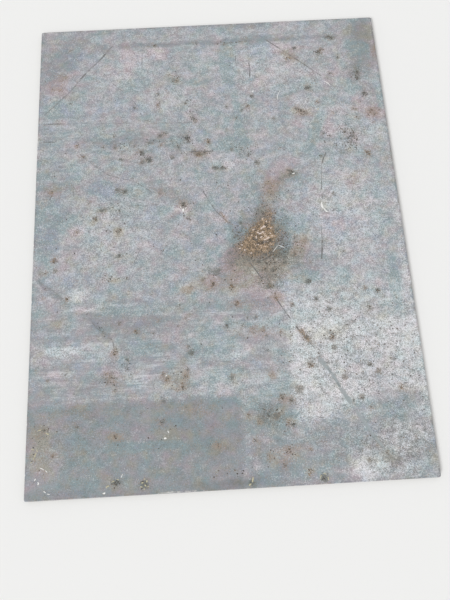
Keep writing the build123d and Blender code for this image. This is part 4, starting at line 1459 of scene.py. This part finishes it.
class STEELPLATE_OT_crust(bpy.types.Operator):
    """Makes the crust of burnt rust near the middle of the face, and the crumbs scattered round it"""

    bl_idname = "steel_plate.crust"
    bl_label = "Rust crust"

    def outline(self, angle):
        """The radius at each angle: its lobes as extra * exp(-(gap / spread)^2), and three waves."""
        radius = np.full(len(angle), float(CRUST_RADIUS))
        for lobe, spread, extra in CRUST_LOBES:
            gap = (np.degrees(angle) - lobe + 180) % 360 - 180
            radius += extra * np.exp(-((gap / spread) ** 2))
        radius += 3.0 * np.sin(9 * angle + 1) + 2.0 * np.sin(17 * angle + 2) + 1.2 * np.sin(31 * angle)
        return radius

    def crust(self, shape, finish):
        """Rings round the middle that sink into the face at their rim. Terraces, lumps and crumbs are
        added to half the height and hollows are taken off it. Crumbs are paler and hollows darker."""
        angle = np.linspace(0, 2 * np.pi, CRUST_STEPS, endpoint=False)
        middle = [np.array([float(value)]) for value in CRUST_MIDDLE]
        x, y, share = lens_points(*middle, self.outline(angle)[None, :] + CRUST_SKIRT, CRUST_RINGS)
        inside = 1 - smooth_step(0.25, 0.95, share)
        lumps = rough_noise(x, y, cell=9, seed=91)
        crumbs = rough_noise(x, y, cell=3.2, seed=93, octaves=2)
        terraces = np.floor(lumps * 3.5 + 0.5 * crumbs) / 3.5
        hollow = patch_sum(CRUST_HOLLOWS, x + 1.5 * rough_noise(x, y, cell=4, seed=97), y)
        relief = 0.5 + 0.3 * terraces + 0.3 * lumps + 0.45 * crumbs - 0.9 * hollow
        height = shape.crust_height / MM * inside * np.clip(relief, 0, 1.3)
        height = height - 0.06 * smooth_step(0.6, 1, share)
        points, faces = lens_mesh(x, y, THICKNESS + face_height(shape, x, y) + height, sink=0.4)
        fields = face_fields(points[:, 0], points[:, 1])
        fields["rust"] += lens_flat(inside * 0.5)
        shade = FACE_SHADE + 0.42 * crumbs + 0.22 * terraces + 0.12 * inside - 1.1 * hollow
        fields["shade"] = lens_flat(np.clip(shade, -0.2, 1))
        write_piece("rust_crust", points, faces, fields, [finish_material(finish)], sharp=50)

    def crumbs(self, shape, finish):
        """Loose crumbs round the crust, dark where the rust is thin and of all shades where it is thick."""
        places = scattered(CRUST_SCATTER, (0.5, 1.7), seed=131)
        thick = np.clip(patch_sum(RUST_PATCHES, places[:, 0], places[:, 1]) / 0.7, 0, 1)
        shades = np.random.default_rng(137).choice([-0.7, -0.3, 0.1, 0.4, 0.8, 1.1], len(places))
        shades = shades * (0.45 + 0.55 * thick) - 0.75 * (1 - thick)
        cluster = crumb_cluster(shape, places, shades, seed=133)
        write_piece("crust_crumbs", *cluster, [finish_material(finish)])

    def execute(self, context):
        shape, finish = shape_and_finish(context)
        self.crust(shape, finish)
        self.crumbs(shape, finish)
        return {"FINISHED"}


class STEELPLATE_OT_flakes(bpy.types.Operator):
    """Makes the pale flakes that lie on the crust"""

    bl_idname = "steel_plate.flakes"
    bl_label = "Crust flakes"

    steps = 10

    def execute(self, context):
        shape, finish = shape_and_finish(context)
        place = np.array(FLAKES, float)[:, :, None, None]
        angle = np.linspace(0, 2 * np.pi, self.steps, endpoint=False)[None, None, :]
        # Each flake is a ragged disc, stretched to its length and width, turned, tilted and crinkled
        radii = outline_radius(angle, np.ones(len(place)), ragged=0.8, seed=141)
        x, y, share = lens_points(np.zeros(len(place)), np.zeros(len(place)), radii, rings=3)
        across, along = turned(x * place[:, 2] / 2, y * place[:, 3] / 2, place[:, 4])
        flat_x, flat_y = place[:, 0] + across, place[:, 1] + along
        lift = 0.10 * (x * 0.7 + y * 0.5) + 0.08 * rough_noise(flat_x, flat_y, cell=2.4, seed=143, octaves=2)
        edge = np.where(share > 0.99, -0.12, 0.0)
        points, faces = lens_mesh(flat_x, flat_y, THICKNESS + 0.12 + lift + edge, sink=0.2)
        pale = bit_material("pale_flake", finish.rust_flake, 0.8)
        write_piece("crust_flakes", points, faces, {}, [pale], sharp=35)
        return {"FINISHED"}


class STEELPLATE_OT_spots(bpy.types.Operator):
    """Makes the rust spots, each a cluster of crumbs that stand a little proud of the face. Four dark spots
    are painted shadow under the straw bits
    """

    bl_idname = "steel_plate.spots"
    bl_label = "Rust spots"

    def execute(self, context):
        shape, finish = shape_and_finish(context)
        random = np.random.default_rng(101)
        # The dark spots include four painted shadows under the straw bits
        spots = np.array(DARK_SPOTS_AND_SHADOWS + BROWN_SPOTS, float)
        darkest = np.repeat([-0.75, -0.12], [len(DARK_SPOTS_AND_SHADOWS), len(BROWN_SPOTS)])
        # A spot holds half its radius squared of crumbs, spread normally over half its radius
        count = np.clip(spots[:, 2] ** 2 * 0.5, 3, 30).astype(int)
        near = np.repeat(spots, count, axis=0)
        spread = random.normal(0, 0.5, (len(near), 2)) * near[:, 2:]
        size = random.uniform(0.35, 1.0, len(near)) * np.clip(near[:, 2] * 0.34, 1.1, 2.0)
        places = np.column_stack([near[:, :2] + spread, size])
        shades = np.repeat(darkest, count) + random.uniform(-0.2, 0.5, len(near))
        cluster = crumb_cluster(shape, places, shades, seed=103)
        write_piece("rust_spots_and_shadows", *cluster, [finish_material(finish)])

        places = scattered(SPECK_SCATTER, (0.6, 1.9), seed=107)
        shades = np.random.default_rng(109).uniform(-0.9, 0.0, len(places))
        cluster = crumb_cluster(shape, places, shades, seed=113)
        write_piece("dark_specks", *cluster, [finish_material(finish)])
        return {"FINISHED"}


class STEELPLATE_OT_scratches(bpy.types.Operator):
    """Makes the scratches and the wide scrape, with their raised lips"""

    bl_idname = "steel_plate.scratches"
    bl_label = "Scratches"

    spacing = 1.6
    spread = 1.7
    lip_place = 0.62
    proud = 0.012

    def execute(self, context):
        shape, finish = shape_and_finish(context)
        # The ribbon is wider than the furrow and carries its lips. The last line closes it underneath.
        across = np.array([-1, -0.8, -0.62, -0.42, -0.2, 0, 0.2, 0.42, 0.62, 0.8, 1, 0])
        lips = np.exp(-(((np.abs(across) - self.lip_place) / 0.16) ** 2))
        bed = np.where(np.abs(across) < 1, 0.0, -0.06)
        below = np.zeros(len(across))
        below[-1] = -0.3
        groove = 1 - smooth_step(0.30, 0.60, np.abs(across))
        points, faces, grooves, first = [], [], [], 0
        for scratch in SCRATCHES + SCRAPES:
            x, y, taper = swept_ribbon(scratch.path, scratch.half * self.spread, across, self.spacing)
            relief = lips * shape.lip_height / MM * scratch.lip * taper[:, None] + bed + below + self.proud
            z = THICKNESS + face_height(shape, x, y) + relief
            faces += ribbon_faces(len(x), len(across), first)
            points.append(np.stack([x, y, z], -1).reshape(-1, 3))
            gaps = np.clip(0.85 + 0.8 * rough_noise(x, y, cell=9, seed=111), 0.25, 1.2)
            # A groove below zero shows as a scrape and not as a furrow
            depth = scratch.dark if scratch.dark > 0 else -1.0
            grooves.append((groove * gaps * depth * taper[:, None]).ravel())
            first += x.size
        points = np.concatenate(points)
        fields = face_fields(points[:, 0], points[:, 1])
        fields["groove"] = np.concatenate(grooves)
        write_piece("scratches", points, faces, fields, [finish_material(finish)])
        return {"FINISHED"}


class STEELPLATE_OT_bits(bpy.types.Operator):
    """Makes the pale curls, chips and straw bits that lie on the face"""

    bl_idname = "steel_plate.bits"
    bl_label = "Loose bits"

    stations = 26
    loop = 10
    lift = 0.14

    def bits(self, shape, places):
        """Crescents and chips: an arc of the given bend, as wide as sqrt(1 - t^2) for a slender one and
        sqrt(1 - t^6) for a stubby one, each side ragged on its own, with a low oval section."""
        turn = np.linspace(0, 2 * np.pi, self.loop, endpoint=False)
        section, rise = np.cos(turn), np.sin(turn)
        t = np.linspace(-1, 1, self.stations)
        points, faces = [], []
        for number, bit in enumerate(places):
            bend = math.radians(max(bit.bend, 1))
            radius = bit.length / bend
            angle = t * bend / 2
            line = np.stack([radius * np.sin(angle), radius * (np.cos(angle) - 1)], 1)
            side = np.stack([np.sin(angle), np.cos(angle)], 1)
            stubby = bit.width > bit.length / 5
            half = bit.width / 2 * np.sqrt(np.clip(1 - np.abs(t) ** (6 if stubby else 2), 0.01, 1))
            ragged = 0.9 if stubby else 0.35
            sides = [
                half * (1 + ragged * rough_noise(t * 6 + number * 5, t * 0 + way, cell=2, seed=121))
                for way in (0, 9)
            ]
            reach = np.where(section > 0, sides[0][:, None], sides[1][:, None])
            flat = line[:, None] + side[:, None] * (section * reach)[:, :, None]
            across, along = turned(flat[..., 0], flat[..., 1], bit.turn)
            x, y = bit.x + across, bit.y + along
            height = self.lift * (1 + rise * (half / half.max())[:, None])
            z = THICKNESS + face_height(shape, x, y) + height
            faces += ribbon_faces(self.stations, self.loop, len(points) * self.stations * self.loop)
            points.append(np.stack([x, y, z], -1).reshape(-1, 3))
        return np.concatenate(points), faces

    def execute(self, context):
        shape, finish = shape_and_finish(context)
        pale = bit_material("pale_bit", finish.pale_bit, 0.55)
        straw = bit_material("straw", finish.straw_bit, 0.75)
        write_piece("pale_curls_and_chips", *self.bits(shape, PALE_BITS), {}, [pale])
        write_piece("straw_bits", *self.bits(shape, STRAW_BITS), {}, [straw])
        return {"FINISHED"}


class STEELPLATE_OT_stage(bpy.types.Operator):
    """Makes the pale floor, the lights and the camera"""

    bl_idname = "steel_plate.stage"
    bl_label = "Stage"

    def execute(self, context):
        stage = context.scene.steel_plate_stage
        self.floor(context, stage)
        self.sky(context, stage)
        self.key(context, stage)
        self.camera(context, stage)
        return {"FINISHED"}

    def floor(self, context, stage):
        """A square floor at the foot of the plate."""
        half = stage.floor_size / 2
        corners = [(-half, -half, 0), (half, -half, 0), (half, half, 0), (-half, half, 0)]
        mesh = bpy.data.meshes.new("floor")
        mesh.from_pydata(corners, [], [(0, 1, 2, 3)])
        material, tree, shader = new_material("floor")
        shader.inputs["Base Color"].default_value = opaque(stage.floor)
        shader.inputs["Roughness"].default_value = 0.9
        mesh.materials.append(material)
        floor = bpy.data.objects.new("floor", mesh)
        context.scene.collection.objects.link(floor)

    def sky(self, context, stage):
        """An even pale sky, which the camera and the gloss see nearly white."""
        world = bpy.data.worlds.new("sky")
        world.use_nodes = True
        world.node_tree.nodes.clear()
        tree = Tree(world.node_tree)
        path = tree.add("ShaderNodeLightPath").outputs
        seen = tree.math("MAXIMUM", path["Is Camera Ray"], path["Is Glossy Ray"])
        seen = tree.math("MAXIMUM", seen, path["Is Transmission Ray"])
        strength = tree.math("MULTIPLY_ADD", seen, stage.seen_sky - stage.sky_strength, stage.sky_strength)
        sky = tree.add("ShaderNodeBackground", {"Color": (1, 1, 1, 1), "Strength": strength})
        tree.add("ShaderNodeOutputWorld", {0: sky.outputs[0]})
        context.scene.world = world

    def key(self, context, stage):
        """One soft sun lamp from the near left."""
        lamp = bpy.data.lights.new("key", "SUN")
        lamp.energy = stage.key_strength
        lamp.angle = stage.key_softness
        key = bpy.data.objects.new("key", lamp)
        key.rotation_euler = (stage.key_from_near, -stage.key_from_left, 0)
        context.scene.collection.objects.link(key)

    def camera(self, context, stage):
        """The camera stands over the near half of the plate and leans forward from straight down."""
        data = bpy.data.cameras.new("camera")
        data.lens = stage.lens
        data.sensor_width = SENSOR_WIDTH
        data.clip_start = 0.01
        camera = bpy.data.objects.new("camera", data)
        camera.location = stage.camera_place
        camera.rotation_euler = (stage.camera_tilt, 0, stage.camera_turn)
        context.scene.collection.objects.link(camera)
        context.scene.camera = camera


OPERATORS = (
    STEELPLATE_OT_skin,
    STEELPLATE_OT_crust,
    STEELPLATE_OT_flakes,
    STEELPLATE_OT_spots,
    STEELPLATE_OT_scratches,
    STEELPLATE_OT_bits,
    STEELPLATE_OT_stage,
)
GROUPS = {
    "steel_plate_shape": SteelPlateShape,
    "steel_plate_finish": SteelPlateFinish,
    "steel_plate_stage": SteelPlateStage,
}


class STEELPLATE_PT_sidebar(bpy.types.Panel):
    """Lists the sizes, the colours and the operators of the plate"""

    bl_label = "Steel Plate"
    bl_idname = "STEELPLATE_PT_sidebar"
    bl_space_type = "VIEW_3D"
    bl_region_type = "UI"
    bl_category = "Steel Plate"

    def draw(self, context):
        for name, group in GROUPS.items():
            box = self.layout.box()
            for key in group.__annotations__:
                box.prop(getattr(context.scene, name), key)
        for operator in OPERATORS:
            self.layout.operator(operator.bl_idname)


def register():
    for cls in (*GROUPS.values(), *OPERATORS, STEELPLATE_PT_sidebar):
        bpy.utils.register_class(cls)
    for name, group in GROUPS.items():
        setattr(bpy.types.Scene, name, bpy.props.PointerProperty(type=group))


def unregister():
    for name in GROUPS:
        delattr(bpy.types.Scene, name)
    for cls in reversed((*GROUPS.values(), *OPERATORS, STEELPLATE_PT_sidebar)):
        bpy.utils.unregister_class(cls)


def main():
    """Registers the classes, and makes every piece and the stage."""
    register()
    bpy.context.scene.view_settings.view_transform = "Standard"
    bpy.ops.steel_plate.skin()
    bpy.ops.steel_plate.crust()
    bpy.ops.steel_plate.flakes()
    bpy.ops.steel_plate.spots()
    bpy.ops.steel_plate.scratches()
    bpy.ops.steel_plate.bits()
    bpy.ops.steel_plate.stage()


if __name__ == "__main__":
    main()
